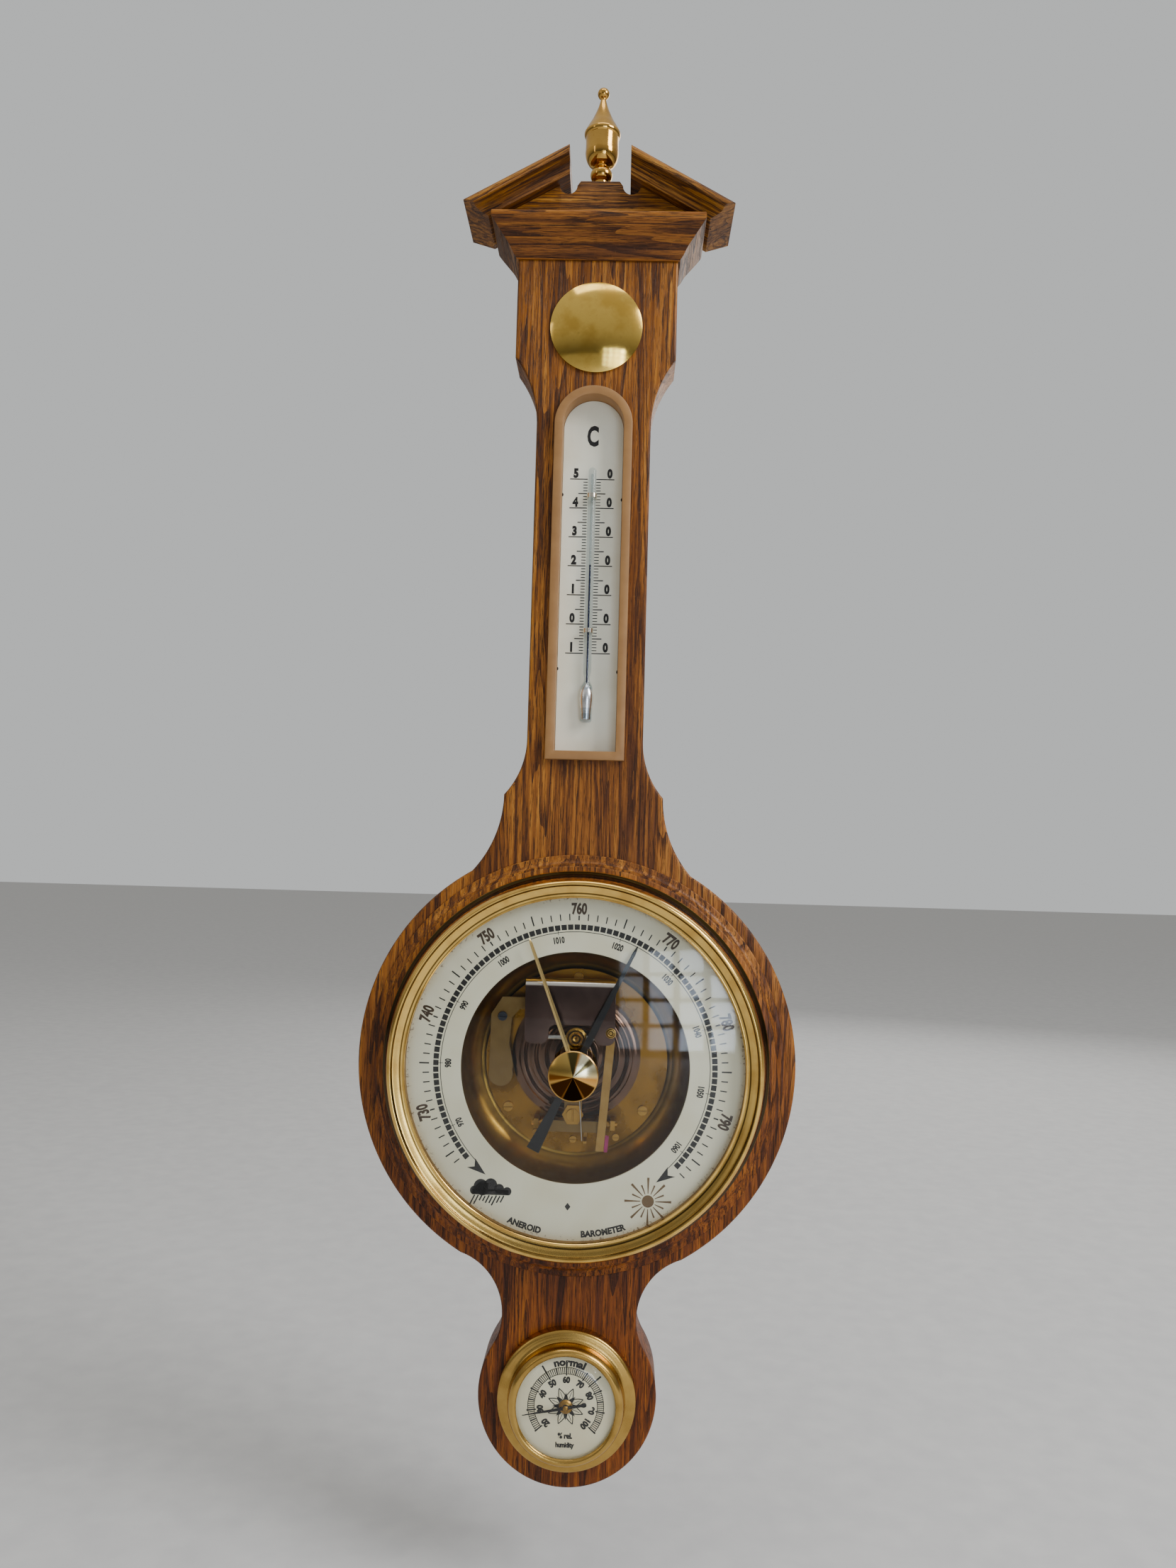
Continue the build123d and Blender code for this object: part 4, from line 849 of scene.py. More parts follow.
def inked(name, dark, light):
    """Matt printing ink, worn a little lighter in places."""
    paint = Paint(name, Roughness=0.5)
    wear = paint.noise(paint.place(), 2.2, 3.0, 0.6)
    paint.finish(Base_Color=paint.mottled(wear, dark, light, 0.35, 0.75))
    return paint


ink = inked("ink_black", (10, 9, 10), (34, 29, 26))
ZERO_Z, DEGREE, READING = CENTRE_Z + 203.7, 1.393, 20.0
marks = []
for degree in range(-10, 51):
    inner, outer = (1.75, 4.0)
    if degree % 5 == 0:
        outer = 6.3
    if degree % 10 == 0:
        outer = 10.4
    thick = 0.5 if degree % 5 == 0 else 0.42
    at = degree * DEGREE
    marks.append(bar(inner, outer, at - thick / 2, at + thick / 2))
    marks.append(bar(-outer - 0.3, -inner - 0.5, at - thick / 2, at + thick / 2))
    if degree % 10 == 0:
        tens = str(abs(degree) // 10)
        marks.append(moved(lettering(tens, 4.8, 0.78, 0.07), -7.9, at + 2.9))
        marks.append(moved(lettering("0", 4.8, 0.78, 0.07), 8.2, at + 2.9))
marks.append(moved(lettering("C", 10.2, 0.60, 0.04), -0.3, 90.6))
notch = arc((0, 0), 1.0, 0, 360, 13)[:-1]
for x, z in ((-14.2, 62.0), (14.2, 60.0), (-14.2, -21.5), (14.2, -22.5)):
    marks.append((notch * (0.45, 0.8) + (x * 0.99, z), [tuple(range(12))]))
printed("plate_print", marks, PLATE_OUT, (0.0, ZERO_Z), ink)


# ---- Thermometer tube ----------------------------------------------------------------------
# A thin glass tube, drawn out from a bulb of silvery liquid, with a dark blue thread that rises
# in its bore. Two crimped wire clips hold it on the plate.
def clear(name, tint, roughness=0.02, straight=0.02):
    """Clear glass: a mirror where seen at a slant, straight seen part one everywhere, else a window."""
    paint = Paint(name, Base_Color=(1, 1, 1, 1), Metallic=1.0)
    smear = paint.noise(paint.place(), 0.04, 4.0, 0.6)
    paint.finish(Roughness=smear * 0.05 + roughness)
    window = paint.node("ShaderNodeBsdfTransparent", {}, {"Color": tint}, "BSDF")
    facing = paint.node("ShaderNodeLayerWeight", {}, {}, "Facing")
    slant = facing.maths("POWER", 5.0) * (1.0 - straight) + straight
    shader = Wire(paint, paint.shader.outputs["BSDF"])
    both = paint.node("ShaderNodeMixShader", {}, {0: slant, 1: window, 2: shader}, "Shader")
    paint.tree.links.new(both.socket, paint.tree.nodes["Material Output"].inputs["Surface"])
    return paint


TUBE_OUT, TUBE_R, BORE_R = 22.5, 1.9, 0.55
bulb_low, bulb_top, tube_tip = CENTRE_Z + 156.6, CENTRE_Z + 173.5, CENTRE_Z + 278.2
tube_glass = clear("glass_tube", (0.86, 0.89, 0.91, 1.0))
bulb_foot = arc((1.4, bulb_low + 1.35), 1.35, -90, 0, 8)
bulb_side = curve([(2.75, bulb_low + 2), (2.75, bulb_top - 3), (2.7, bulb_top), (1.5, bulb_top + 2.6),
                   (1.25, bulb_top + 4.4), (1.7, bulb_top + 6.2), (TUBE_R, bulb_top + 8)], 40)
tip = arc((0, tube_tip - TUBE_R), TUBE_R, 0, 90, 10)
tube_profile = np.vstack([[(0, bulb_low)], bulb_foot, bulb_side, tip])
tube_profile[-1, 0] = 0.0
tube_bore = np.array([(0, tube_tip - 3.0), (BORE_R, tube_tip - 3.2), (BORE_R, bulb_top + 3.0),
                      (2.5, bulb_top), (2.5, bulb_low + 0.9), (0, bulb_low + 0.7)])
tube_section = np.vstack([tube_profile, tube_bore])
piece("glass_tube", *lathe(tube_section, (0, TUBE_OUT), 40, True), "case", "glass", tube_glass,
      ["thermometer_tube"])
silver = Paint("liquid_silver", Metallic=1.0, Base_Color=srgb(238, 239, 240))
silver.finish(Roughness=silver.noise(silver.place(), 0.5, 2.0) * 0.1 + 0.2)
silver_profile = np.vstack([[(0, bulb_low + 0.95)], arc((1.5, bulb_low + 1.9), 0.95, -90, 0, 6),
                            curve([(2.45, bulb_low + 3), (2.45, bulb_top - 1), (1.2, bulb_top + 1.2),
                                   (0.5, bulb_top + 1.9)], 12), [(0, bulb_top + 1.9)]])
piece("silver_bulb", *lathe(silver_profile, (0, TUBE_OUT), 40, True), "case", "liquid_silver", silver,
      ["mercury_reservoir"])
navy = Paint("liquid_blue", Roughness=0.15, Base_Color=srgb(28, 34, 66))
navy_cloud = navy.noise(navy.place(), 0.4, 2.0)
navy.finish(Base_Color=navy.mottled(navy_cloud, (22, 28, 58), (36, 42, 80)))
thread_low, thread_r = bulb_top + 2.0, 0.42
thread_top = ZERO_Z + READING * DEGREE - 0.8
thread_heights = np.linspace(thread_low, thread_top, 40)
thread_profile = np.vstack([[(0, thread_low)], np.column_stack([np.full(40, thread_r), thread_heights]),
                            [(0, thread_top)]])
points, faces = lathe(thread_profile, (0, TUBE_OUT), 16, True)
thread = piece("blue_thread", points, faces, "case", "liquid_blue", navy, ["mercury_thread"])
thread.parent = None
del thread["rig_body"]
thread_ends = [(0, -TUBE_OUT * MM, end * MM) for end in (thread_low, thread_top)]
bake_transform(thread)
meniscus = np.vstack([[(0, thread_top + 0.05), (0.5, thread_top + 0.05), (0.5, thread_top + 0.45)],
                      arc((0, thread_top + 0.4), 0.45, 20, 90, 6)])
meniscus[-1, 0] = 0.0
piece("blue_meniscus", *lathe(meniscus, (0, TUBE_OUT), 16, True), "mercury_column", "liquid_blue", navy,
      ["mercury_meniscus"])
clip_brass = brass("wire_clip", srgb(226, 222, 208), srgb(176, 168, 146), 0.2)
refined("tube_clips", clip_brass, soften=0.08)


# ---- Barometer pan and dial ----------------------------------------------------------------
# A spun brass pan holds the movement and carries the ring dial on its flange: lacquered card,
# printed in black and brown. Lugs screw the pan to the wooden ring, and a thin spacer lies on
# the flange under the glass.
def grooved(name, clean, dull, polish, centre, pitch, depth, tarnish=0.5, sectors=(), shade=None, ringed=0.0,
            foot=None, cuts=()):
    """Metal turned on a lathe: fine rings about a centre, as a bump.

    It can have painted sectors lighter and darker (painted highlights and reflections of a turned
    cone), painted shade inside a shaded radius, a painted dark reflection between the two radii of
    its foot, and cut rings or ringed waves drawn as dark lines, painted shade of grooves.
    """
    paint = Paint(name, Metallic=1.0, IOR=1.5)
    where = paint.place()
    flat, far = paint.around(where, centre)
    groove_at = paint.node("ShaderNodeCombineXYZ", {}, {0: far * (1.0 / pitch)}, "Vector")
    rings = paint.noise(groove_at, 1.0, 3.0, 0.6)
    cloud = paint.noise(where, 0.07, 4.0, 0.55)
    patch = paint.band(cloud, 0.40, 0.68) * tarnish
    colour = paint.mix(patch, clean, dull)
    colour = paint.mix(rings * 0.3, colour, dull)
    # painted shade: dark inside the shaded radius, where the pan's floor lies in shade round and under the
    # base plate
    if shade:
        colour = paint.mix(paint.band(far, *shade) * -0.94 + 0.94, colour, srgb(20, 13, 6))
    # painted shade: dark concentric rings for the grooves of a turned head
    if ringed:
        wave = (far * (2.6 * math.tau / ringed)).maths("COSINE", 0.0)
        colour = paint.mix(paint.band(wave, 0.1, 0.7), colour, srgb(40, 24, 8))
    # painted shade: dark lines where cut grooves run
    for cut in cuts:
        line = paint.band((far - cut).maths("ABSOLUTE"), 0.5, 0.2)
        colour = paint.mix(line * 0.85, colour, srgb(46, 28, 10))
    # painted dark reflection: the metal darkens between the foot's two radii, for the dark wall and wood the
    # skirt would reflect
    if foot:
        colour = paint.mix(paint.band(far, foot[0], foot[0] + 0.5) * 0.93, colour, srgb(24, 13, 5))
        colour = paint.mix(paint.band(far, foot[1], foot[1] + 0.35), colour, clean)
    # painted highlights and reflections: lighter and darker sectors by angle round the centre
    if sectors:
        across = paint.node("ShaderNodeSeparateXYZ", {}, {0: flat}, "X")
        upward = paint.node("ShaderNodeSeparateXYZ", {}, {0: flat}, "Z")
        turned = across.maths("ARCTAN2", upward) * (1.0 / math.tau) + 0.5
        stops = [(angle / 360.0 + 0.5, srgb(*shade_here)) for angle, shade_here in sectors]
        colour = paint.mix(paint.band(far, 10.6, 10.1), colour, paint.ramp(turned, *stops))
    paint.finish(Base_Color=colour, Roughness=patch * 0.12 + rings * 0.10 + polish,
                 Normal=paint.bump(rings * depth, 1.0, 0.8))
    return paint


# painted shade on the pan's floor round the base plate
pan_brass = grooved("brass_pan", srgb(214, 170, 74), srgb(140, 100, 36), 0.30, BARO_AT, 0.35, 0.012, 0.6,
                    shade=(42.0, 44.6))
bowl = curve([(54.0, 37.0), (53.7, 32.0), (52.8, 26.2), (51.1, 20.4), (48.1, 16.1), (44.0, 13.6)], 34)
under_bowl = curve([(44.2, 12.8), (48.5, 15.6), (51.6, 20.0), (53.4, 26.0), (54.2, 32.0), (54.6, 36.5)], 20)
pan_flange = [(77.0, 36.5), (77.0, 37.2), (54.5, 37.2)]
pan_profile = np.vstack([[(0, 12.8)], under_bowl, pan_flange, bowl, [(0, 13.5)]])
piece("brass_pan", *lathe(pan_profile, BARO_AT, 160), "case", "satin_brass", pan_brass, ["barometer_pan"])
satin = brass("brass_satin", srgb(178, 138, 66), srgb(126, 90, 36), 0.28, 0.4, grain=(1, 1, 0.1), lines=0.15)
refined("pan_lugs", satin, soften=0.1)
refined("glass_spacer", satin, soften=0)

dial_card = card("card_dial", srgb(238, 234, 208), srgb(224, 216, 182), (BARO_AT, 76.0, 4.0))
dial_profile = [(51.2, 37.2), (76.8, 37.2), (76.8, 38.0), (51.35, 38.0), (51.2, 37.85)]
piece("cream_dial", *lathe(dial_profile, BARO_AT, 200), "case", "dial_white", dial_card, ["dial_plate"])
DIAL_OUT = 38.0


def bent(shape, radius, angle, inward=False):
    """A flat shape laid along a circle: across runs round it, up leads away from its centre."""
    points, faces = shape
    side = -1 if inward else 1
    turn = math.radians(angle) + side * points[:, 0] / radius
    far = radius + side * points[:, 1]
    return np.column_stack([far * np.sin(turn), far * np.cos(turn)]), faces


def tick(low, high, angle, width):
    """A radial line between two radii, at a clockwise angle from the top."""
    return bent(bar(-width / 2, width / 2, 0, high - low), low, angle)


def ringlet(low, high, start, end, steps):
    """A band between two radii, from one clockwise angle to another."""
    angle = np.radians(np.linspace(start, end, steps + 1))[:, None]
    around = np.concatenate([np.sin(angle), np.cos(angle)], 1)
    points = np.stack([around * low, around * high], 1).reshape(-1, 2)
    return points, [(2 * i, 2 * i + 1, 2 * i + 3, 2 * i + 2) for i in range(steps)]


TOP_MM, DEGREES_PER_MM = 760, 3.6
TOP_HPA, DEGREES_PER_HPA = 1013.25, 2.7
marks, numerals = [], []
for pressure in range(724, 798):
    angle = (pressure - TOP_MM) * DEGREES_PER_MM
    long_mark = pressure % 5 == 0
    outer = 69.9 if long_mark else 68.4
    inner = 65.4
    if pressure % 10 == 0:
        outer = 67.6
    marks.append(tick(inner, outer, angle, 0.62 if long_mark else 0.5))
    if pressure % 10 == 0:
        numerals.append(bent(lettering(str(pressure), 5.6, 0.68, 0.045), 70.7, angle))
first_block, last_block = 965, 1062
for pressure in range(first_block, last_block + 1):
    angle = (pressure - TOP_HPA) * DEGREES_PER_HPA
    marks.append(bent(bar(-1.17, 1.17, 0.0, 2.4), 61.2, angle))
    if pressure % 10 == 0:
        marks.append(tick(59.2, 61.4, angle, 0.24))
        marks.append(bent(lettering(str(pressure), 3.1, 0.68, 0.045), 56.9, angle))
left_end, right_end = ((end - TOP_HPA) * DEGREES_PER_HPA for end in (first_block - 1, last_block + 1))
marks.append(ringlet(60.15, 60.45, left_end - 1, right_end + 1, 200))
for end, way in ((left_end, -1), (right_end, 1)):
    head = np.array([(-0.4, 3.9), (1.6, 1.2), (-0.9, -1.5), (7.6, 0.4)]) * (way, 1)
    marks.append(bent((head, [(0, 1, 3), (1, 2, 3)]), 61.3, end + way * 1.4))
marks.append(bent(lettering("ANEROID", 3.0, 0.95, 0.055), 72.9, 196.5, True))
marks.append(bent(lettering("BAROMETER", 3.0, 0.95, 0.055), 72.9, 168.5, True))
lozenge = np.array([(0.0, 1.7), (-1.3, 0.0), (0.0, -1.7), (1.3, 0.0)])
marks.append((lozenge + (-1.6, -61.0), [(0, 1, 2, 3)]))
marks.append(moved((arc((0, 0), 3.1, 40, 330, 20), [tuple(range(20))]), -39.6, -54.3))
cloud_parts = [((-40.4, -53.4), 3.2), ((-36.0, -52.7), 2.9), ((-32.2, -54.3), 2.2), ((-43.2, -55.2), 2.0),
               ((-28.6, -55.3), 1.9)]
for middle, radius in cloud_parts:
    rim = arc(middle, radius, 0, 360, 25)[:-1]
    rim[:, 1] = np.maximum(rim[:, 1], -57.0)
    marks.append((rim, [tuple(range(24))]))
marks.append(bar(-44.2, -28.0, -57.0, -54.6))
rain = [(0.2, 5.2), (0.2, 4.2), (0.2, 2.6), (0.6, 2.8), (0.2, 3.6), (0.6, 3.6), (0.2, 4.6), (0.4, 3.4),
        (0.2, 3.2)]
for i, (first, length) in enumerate(rain):
    x = -42.9 + 1.62 * i
    marks.append(stroke((x - 0.5 * first, -57.0 - first), (x - 0.5 * length, -57.0 - length), 0.62))
printed("dial_print", marks, DIAL_OUT, BARO_AT, ink)
sun_ink = inked("ink_brown", (98, 72, 36), (122, 94, 54))
number_ink = inked("ink_umber", (52, 36, 20), (84, 62, 38))
printed("numeral_print", numerals, DIAL_OUT, BARO_AT, number_ink)
sun = [(arc((0, 0), 2.7, 0, 360, 33)[:-1], [tuple(range(32))])]
for i in range(16):
    sun.append(tick(3.3, 10.4 if i % 2 == 0 else 7.6, 22.5 * i, 0.34))
printed("sun_print", sun, DIAL_OUT, (33.9, CENTRE_Z - 57.5), sun_ink)


# ---- Barometer bezel and glass -------------------------------------------------------------
# A spun and polished brass bezel stands on the wooden ring and holds the domed glass. A turned
# bush in the middle of the glass carries the set hand's spindle.
# The bezel's foot band is a painted dark reflection, and its cut rings are painted shade of grooves.
BEZEL_FOOT, BEZEL_CUTS = (84.35, 87.2), (81.3, 77.7)
bezel_brass = grooved("brass_bezel", srgb(250, 208, 116), srgb(178, 128, 54), 0.09, BARO_AT, 0.8, 0.003, 0.5,
                      foot=BEZEL_FOOT, cuts=BEZEL_CUTS)
skirt_curve = curve([(87.7, 31.6), (87.5, 32.4), (86.9, 33.2), (86.2, 33.9), (85.5, 35.2), (85.0, 37.6),
                     (84.5, 40.8), (83.8, 43.4), (83.1, 44.7), (82.2, 45.2), (81.4, 44.9), (80.9, 44.2)], 60)
inner_cone = curve([(80.6, 44.1), (79.0, 43.8), (77.4, 43.4), (76.2, 43.3), (75.8, 43.5), (75.6, 43.3)], 20)
under_bezel = [(75.6, 42.7), (76.9, 42.4), (80.6, 43.2), (82.2, 44.2), (83.2, 43.0), (83.6, 41.0),
               (84.0, 38.0), (84.5, 35.0), (85.6, 33.1), (86.6, 32.2), (86.8, 31.0)]
bezel_profile = np.vstack([[(87.7, 31.0)], skirt_curve, inner_cone, under_bezel])
piece("brass_bezel", *lathe(bezel_profile, BARO_AT, 240), "case", "polished_brass", bezel_brass,
      ["barometer_bezel"])


def dome(edge_r, rise, base_out, hole_r, thick, count=60):
    """Section of a domed glass: its back and its front, each part of a sphere."""
    sphere = (edge_r**2 + rise**2) / (2 * rise)
    r = np.linspace(hole_r, edge_r, count)
    back = base_out + np.sqrt(sphere**2 - r**2) - (sphere - rise)
    return np.vstack([np.column_stack([r, back]), np.column_stack([r, back + thick])[::-1]])


dial_glass = clear("glass_dial", (0.97, 0.975, 0.97, 1.0))
piece("dial_glass", *lathe(dome(76.6, 7.0, 41.0, 2.6, 1.45), BARO_AT, 200), "case", "glass", dial_glass,
      ["barometer_glass"])
refined("glass_bush", polished, soften=0.1)


# ---- Base plate and capsule ----------------------------------------------------------------
# A brushed brass plate on the pan's floor, and on it the sealed capsule: two corrugated metal
# discs, lacquered brown and joined at a rolled seam.
plate_brass = grooved("brass_brushed", srgb(158, 116, 42), srgb(84, 56, 16), 0.18, BARO_AT, 0.25, 0.02, 0.7)
refined("base_plate", plate_brass, soften=0.25)
CAPSULE_AT = (0.0, CENTRE_Z + 3.0)
capsule_brown = Paint("capsule_lacquer", Metallic=1.0, Coat_Weight=0.3, Coat_Roughness=0.1)
capsule_cloud = capsule_brown.noise(capsule_brown.place(), 0.08, 3.0)
capsule_brown.finish(Base_Color=capsule_brown.mottled(capsule_cloud, (78, 54, 40), (112, 82, 62)),
                     Roughness=capsule_cloud * 0.1 + 0.10)
ripple_r = np.linspace(5.0, 27.0, 200)
ripple = 23.3 + 0.45 * np.cos(2 * np.pi * 4.5 * (ripple_r - 5.0) / 22.0)
face_up = np.column_stack([ripple_r, ripple])
face_down = np.column_stack([ripple_r, 42.8 - ripple])[::-1]
capsule_seam = [(28.2, 20.2), (29.4, 20.7), (29.5, 21.4), (29.4, 22.1), (28.2, 22.6)]
capsule_profile = np.vstack([[(0, 19.0)], face_down[::-1][:1], face_down[::-1], capsule_seam, face_up[::-1],
                             [(0, 23.75)]])
piece("capsule", *lathe(capsule_profile, CAPSULE_AT, 160), "case", "capsule_metal", capsule_brown,
      ["aneroid_capsule"])


# ---- Leaf spring and levers ----------------------------------------------------------------
# A folded steel leaf spring holds the capsule open. It carries a brass hub and the long lever,
# with a riveted joint and a dab of paint at its end, and hangs on a knife-edge pin.
dark_steel = Paint("steel_dark", Metallic=1.0)
dark_cloud = dark_steel.noise(dark_steel.place(), 0.06, 3.0, 0.5)
# painted highlight: a near-white band along the top of the spring's fold, for a lamp's reflection there
painted_fold_highlight = dark_steel.band(dark_steel.height(), CENTRE_Z + 35.2, CENTRE_Z + 35.9) * 0.9
dark_colour = dark_steel.mottled(dark_cloud, (84, 66, 62), (116, 96, 90))
dark_steel.finish(Base_Color=dark_steel.mix(painted_fold_highlight, dark_colour, srgb(250, 244, 236)),
                  Roughness=dark_cloud * 0.12 + 0.10)
refined("leaf_spring", dark_steel, "spring_unit", 0.15)
HUB_AT, RIVET_AT = (0.0, CENTRE_Z + 12.3), (15.6, CENTRE_Z + 15.0)
lever_brass = brass("brass_lever", srgb(170, 136, 78), srgb(128, 96, 44), 0.30, 0.4, grain=(1, 1, 0.1),
                    lines=0.15)
# The hub's and rivet's ringed dark rings are painted shade of grooves.
hub_brass = grooved("brass_hub", srgb(190, 148, 66), srgb(120, 84, 28), 0.20, HUB_AT, 1.6, 0.12, 0.4,
                    ringed=4.6)
rivet_brass = grooved("brass_rivet", srgb(206, 170, 92), srgb(140, 104, 44), 0.20, RIVET_AT, 1.6, 0.02, 0.3,
                      ringed=2.3)
refined("long_lever", lever_brass, "spring_unit", 0.06)
refined("spring_hub", hub_brass, "spring_unit", 0.06)
refined("lever_rivet", rivet_brass, "spring_unit", 0.06)
lever_low = CENTRE_Z - 37.9
dab_corners = ((13.7, lever_low), (15.3, lever_low), (15.9, lever_low + 7.0), (14.3, lever_low + 7.4))
dab = np.array([(x, -out, z) for out in (32.2, 33.3) for x, z in dab_corners])
magenta = Paint("paint_dab", Roughness=0.4)
magenta_cloud = magenta.noise(magenta.place(), 1.0)
magenta.finish(Base_Color=magenta.mottled(magenta_cloud, (120, 14, 70), (158, 30, 98)))
dab_faces = [(0, 1, 2, 3), (4, 5, 6, 7), (0, 1, 5, 4), (1, 2, 6, 5), (2, 3, 7, 6), (3, 0, 4, 7)]
piece("lever_paint", dab, dab_faces, "spring_unit", "satin_brass", magenta)
refined("knife_edge_pin", steel, "spring_unit", 0)


# ---- Bridge, rocker and chain --------------------------------------------------------------
# Tan brass bracket, bridge and pillars, with the rocker's stands, nuts and screws in brighter
# brass. The chain, the hairspring and the pointer's arbor run between them.
tan_brass = brass("brass_tan", srgb(128, 104, 64), srgb(104, 80, 42), 0.34, 0.4, grain=(1, 1, 0.06),
                  lines=0.2)
for node in ("spring_bracket", "bridge_cock", "movement_pillars"):
    refined(node, tan_brass, "case", 0.12)
for node in ("lock_nut", "rocker_stands", "movement_screws"):
    refined(node, satin, "case", 0.15)
refined("calibration_screw", satin, "adjusting_screw", 0.12)
black_steel = Paint("steel_black", Metallic=0.7, Roughness=0.35, Base_Color=srgb(52, 56, 64))
black_steel.finish(Roughness=black_steel.noise(black_steel.place(), 1.0, 2.0) * 0.2 + 0.25)
refined("bracket_screw", black_steel, "case", 0.15)
refined("rocker_arbor", satin, "rocker", 0.08)
refined("pull_chain", steel, "case", 0)
refined("hairspring", steel, "case", 0)
refined("pointer_arbor", satin, "pressure_pointer_unit", 0.05)


# ---- Hands and knob ------------------------------------------------------------------------
# The pressure pointer is stamped and painted black. The set hand in front of it is pale brass
# with a ridge down its middle, and turns with the knob on the spindle through the glass.
black = Paint("black_paint", Roughness=0.42, IOR=1.4)
black_cloud = black.noise(black.place(), 1.2, 3.0)
black.finish(Base_Color=black.mottled(black_cloud, (10, 10, 12), (22, 21, 22), 0.35))
refined("pressure_pointer", black, "pressure_pointer_unit", 0.08)
refined("set_spindle", polished, "set_hand_unit", 0.05)
hand_paint = brass("brass_hand", srgb(236, 206, 140), srgb(196, 156, 88), 0.16, 0.4)
SET_ANGLE = -20.9
stations = np.array([(-3.55, 0.3, 43.0), (-3.2, 1.7, 43.1), (-2.0, 3.0, 43.1), (0.0, 3.6, 43.1),
                     (2.0, 3.0, 43.1), (3.3, 1.4, 43.1), (5.0, 1.1, 43.25), (14.0, 1.0, 43.3),
                     (36.0, 0.86, 43.3), (58.6, 0.7, 43.2), (60.0, 0.4, 43.1), (61.1, 0.12, 43.0)])
along, half, crest_out = stations.T
hand_back, hand_edge = np.full_like(half, 42.6), np.full_like(half, 42.9)
lean = math.radians(SET_ANGLE)
loops = []
for offset, out in ((-half, hand_back), (-half, hand_edge), (0 * half, crest_out), (half, hand_edge),
                    (half, hand_back)):
    loops.append(np.column_stack([along * math.sin(lean) + offset * math.cos(lean), -out,
                                  CENTRE_Z + along * math.cos(lean) - offset * math.sin(lean)]))
hand_points = np.stack(loops, 1)
piece("set_hand_ridged", *swept(list(hand_points)), "set_hand_unit", "hand_brass", hand_paint,
      ["set_hand"], 20)
olive, honey, cream, orange = (84, 74, 42), (196, 160, 84), (255, 246, 206), (206, 146, 70)
brown, black_brown = (62, 34, 8), (22, 10, 3)
# painted highlights and reflections of the spun knob, as colours by angle
painted_sheen = [(-180, black_brown), (-157, black_brown), (-154, (140, 90, 36)), (-150, brown), (-112, brown),
         (-106, (222, 172, 90)), (-98, (130, 76, 24)), (-88, (128, 80, 28)), (-82, honey),
         (-18, (206, 174, 98)), (-13, olive), (9, olive), (14, (190, 132, 64)), (24, cream), (38, cream),
         (44, olive), (54, (120, 108, 70)), (60, cream), (84, (255, 232, 168)), (96, orange),
         (112, (230, 176, 96)), (116, brown), (148, brown), (152, (150, 100, 44)), (156, black_brown),
         (180, black_brown)]
knob_brass = grooved("brass_knob", srgb(236, 190, 110), srgb(176, 124, 58), 0.14, BARO_AT, 0.3, 0.0008,
                     0.1, painted_sheen)
knob_back = curve([(4.0, 53.2), (4.5, 55.0), (6.6, 56.7), (9.0, 57.7), (10.3, 58.4), (10.85, 59.2),
                   (10.8, 59.9), (10.4, 60.3)], 40)
knob_profile = np.vstack([[(0, 51.9), (4.0, 51.9), (4.0, 53.0)], knob_back, [(0, 62.4)]])
piece("brass_knob", *lathe(knob_profile, BARO_AT, 120), "set_hand_unit", "polished_brass", knob_brass,
      ["set_knob"])


# ---- Hygrometer ----------------------------------------------------------------------------
# A small dial in a steel can pressed into the board from the front: spun bezel, domed glass,
# printed card, a black pointer on a brass boss, and the coil that turns it.
HYG_AT = (0.0, HYG_Z)
hyg_brass = grooved("brass_hygrometer", srgb(206, 168, 92), srgb(150, 112, 50), 0.17, HYG_AT, 0.6, 0.004, 0.5,
                    foot=(31.3, 31.5))
flange = curve([(31.0, 30.0), (30.95, 30.5), (30.7, 31.0), (30.1, 31.4), (28.6, 31.8), (27.2, 32.1),
                (26.5, 32.4)], 30)
riser = curve([(26.25, 32.6), (26.05, 33.6), (25.9, 35.0), (25.7, 36.4), (25.35, 37.4), (24.8, 38.2),
               (24.0, 38.75), (23.2, 38.8), (22.5, 38.5), (22.1, 38.2), (21.9, 37.9)], 44)
under_flange = [(21.9, 37.7), (23.5, 37.7), (23.5, 35.4), (25.0, 35.4), (25.3, 33.0), (25.7, 31.8),
                (28.4, 31.0), (29.8, 30.6), (30.2, 30.0)]
hyg_profile = np.vstack([[(30.2, 26.0), (31.0, 26.0)], flange, riser, under_flange])
piece("brass_hygrometer_bezel", *lathe(hyg_profile, HYG_AT, 160), "case", "polished_brass", hyg_brass,
      ["hygrometer_bezel"])
hyg_glass = clear("glass_hygrometer", (0.96, 0.965, 0.96, 1.0))
HYG_OUT = 36.0
lens_front = curve([(23.2, 37.4), (21.8, 37.7), (19.4, 39.2), (14.0, 40.6), (7.0, 41.6), (0.0, 42.0)], 40)
lens_back = curve([(0.0, 41.1), (7.0, 40.7), (14.0, 39.7), (19.5, 38.4), (21.3, 37.2), (22.4, 36.0)], 40)
lens_back[0, 0] = lens_front[-1, 0] = 0.0
lens = np.vstack([lens_back, [(23.2, 36.0)], lens_front])
piece("hygrometer_dome", *lathe(lens, HYG_AT, 120), "case", "glass", hyg_glass, ["hygrometer_glass"])
hyg_card = card("card_hygrometer", srgb(244, 236, 204), srgb(230, 216, 176))
card_profile = [(1.6, HYG_OUT - 0.6), (23.3, HYG_OUT - 0.6), (23.3, HYG_OUT), (1.6, HYG_OUT)]
piece("hygrometer_card", *lathe(card_profile, HYG_AT, 100), "case", "dial_white", hyg_card,
      ["hygrometer_dial"])
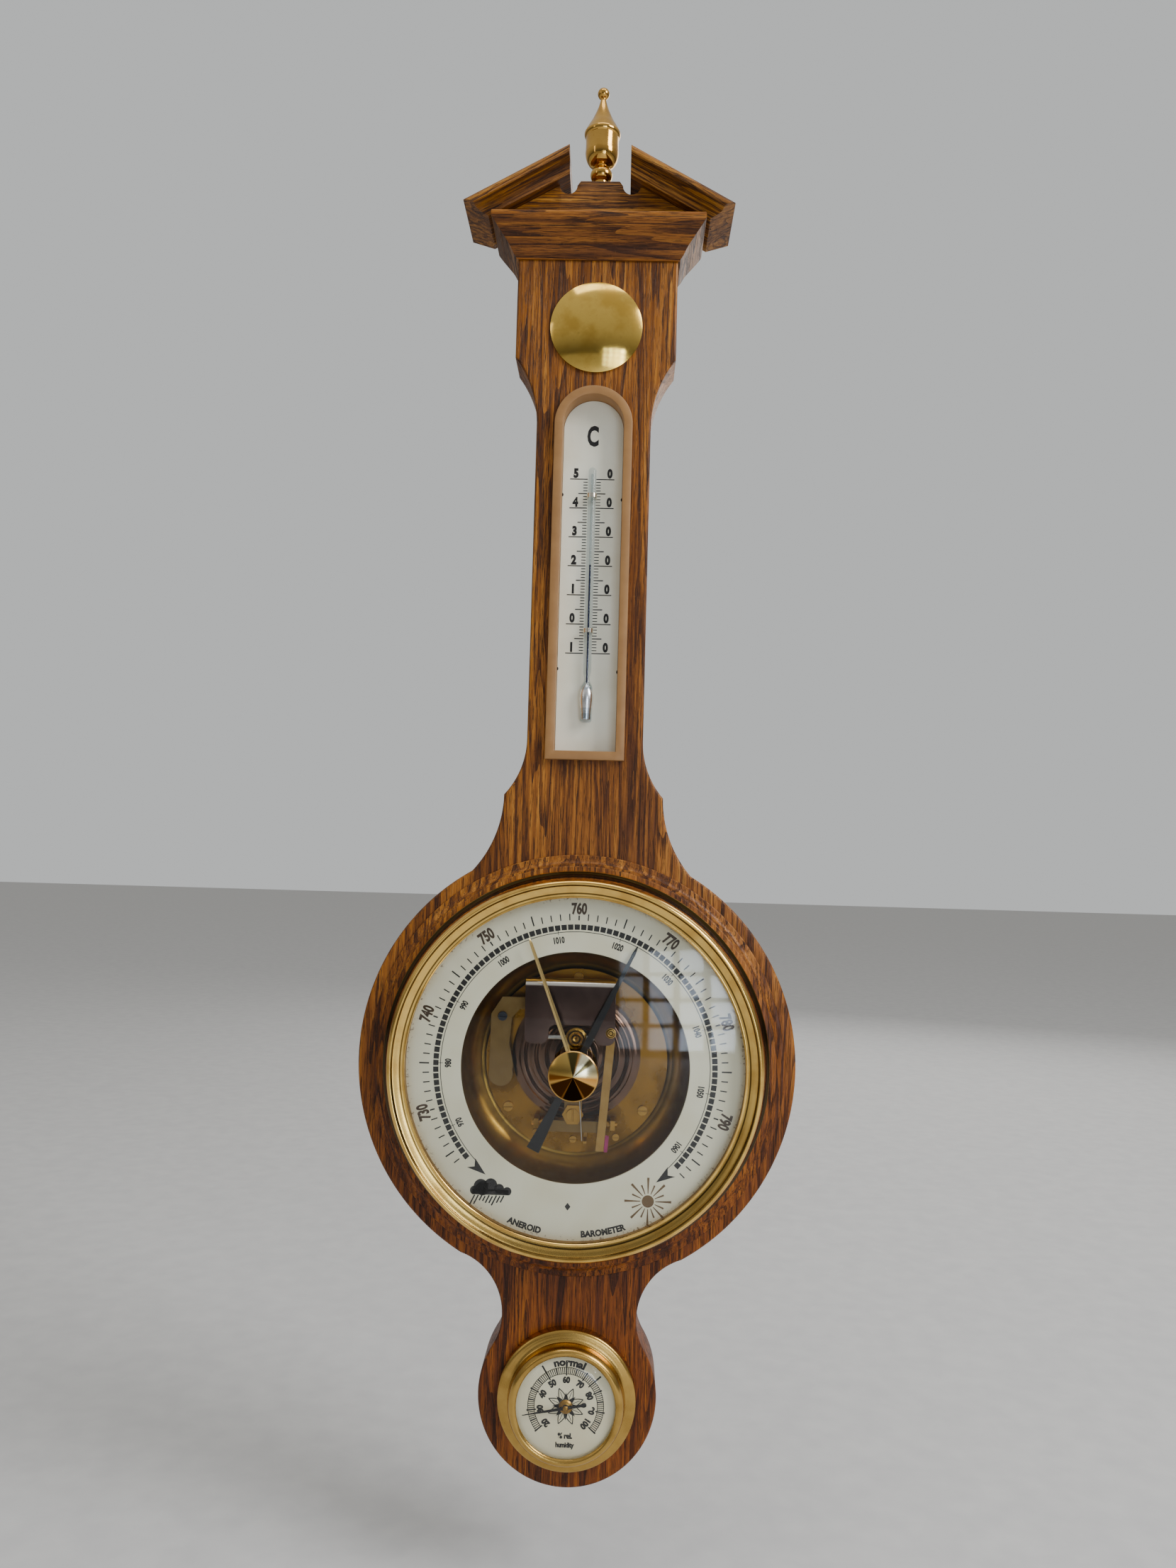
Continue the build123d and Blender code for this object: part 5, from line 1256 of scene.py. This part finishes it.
marks = [ringlet(16.6, 16.9, -131, 131, 100), ringlet(13.8, 14.1, -131, 131, 100)]
TOP_PERCENT, DEGREES_PER_PERCENT = 60, 3.25
for percent in range(20, 101):
    angle = (percent - TOP_PERCENT) * DEGREES_PER_PERCENT
    outer = 17.4 if percent % 10 == 0 else 16.8
    marks.append(tick(13.2 if percent % 10 == 0 else 13.9, outer, angle, 0.55 if percent % 5 == 0 else 0.34))
    if percent % 10 == 0:
        marks.append(bent(lettering(str(percent), 3.1, 0.9, 0.075), 11.4, angle))
for percent in (50, 75):
    marks.append(tick(13.0, 20.2, (percent - TOP_PERCENT) * DEGREES_PER_PERCENT, 0.5))
marks.append(bent(lettering("normal", 3.5, 1.15, 0.05), 19.0, 4.0))
marks.append(moved(lettering("% rel.", 2.6, 0.9, 0.065), 0.0, -12.6))
marks.append(moved(lettering("humidity", 3.0, 0.8, 0.065), 0.0, -16.8))
petal = np.array([(0.0, 2.4), (-1.5, 4.6), (-0.9, 6.4), (0.0, 8.2), (0.9, 6.4), (1.5, 4.6)])
sepal = np.array([(-0.9, 3.0), (0.0, 6.0), (0.9, 3.0)])
for i in range(8):
    turn = math.radians(22.5 + 45 * i)
    spin = np.array([(math.cos(turn), math.sin(turn)), (-math.sin(turn), math.cos(turn))])
    for a, b in zip(petal, np.roll(petal, -1, axis=0)):
        marks.append(stroke(spin @ a, spin @ b, 0.42))
    marks.append(stroke(spin @ (0.0, 3.0), spin @ (0.0, 6.6), 0.24))
    turn += math.radians(22.5)
    spin = np.array([(math.cos(turn), math.sin(turn)), (-math.sin(turn), math.cos(turn))])
    marks.append(((spin @ sepal.T).T, [(0, 1, 2)]))
printed("hygrometer_print", marks, HYG_OUT, HYG_AT, ink)
refined("hygrometer_pointer", black, "hygrometer_unit", 0.05)
refined("hygrometer_arbor", satin, "hygrometer_unit", 0.05)
refined("hygrometer_can", steel, "case", 0)
refined("hygrometer_bridge", steel, "case", 0)
coil_metal = brass("bimetal", srgb(196, 150, 110), srgb(150, 104, 70), 0.3)
refined("humidity_coil", coil_metal, "case", 0)
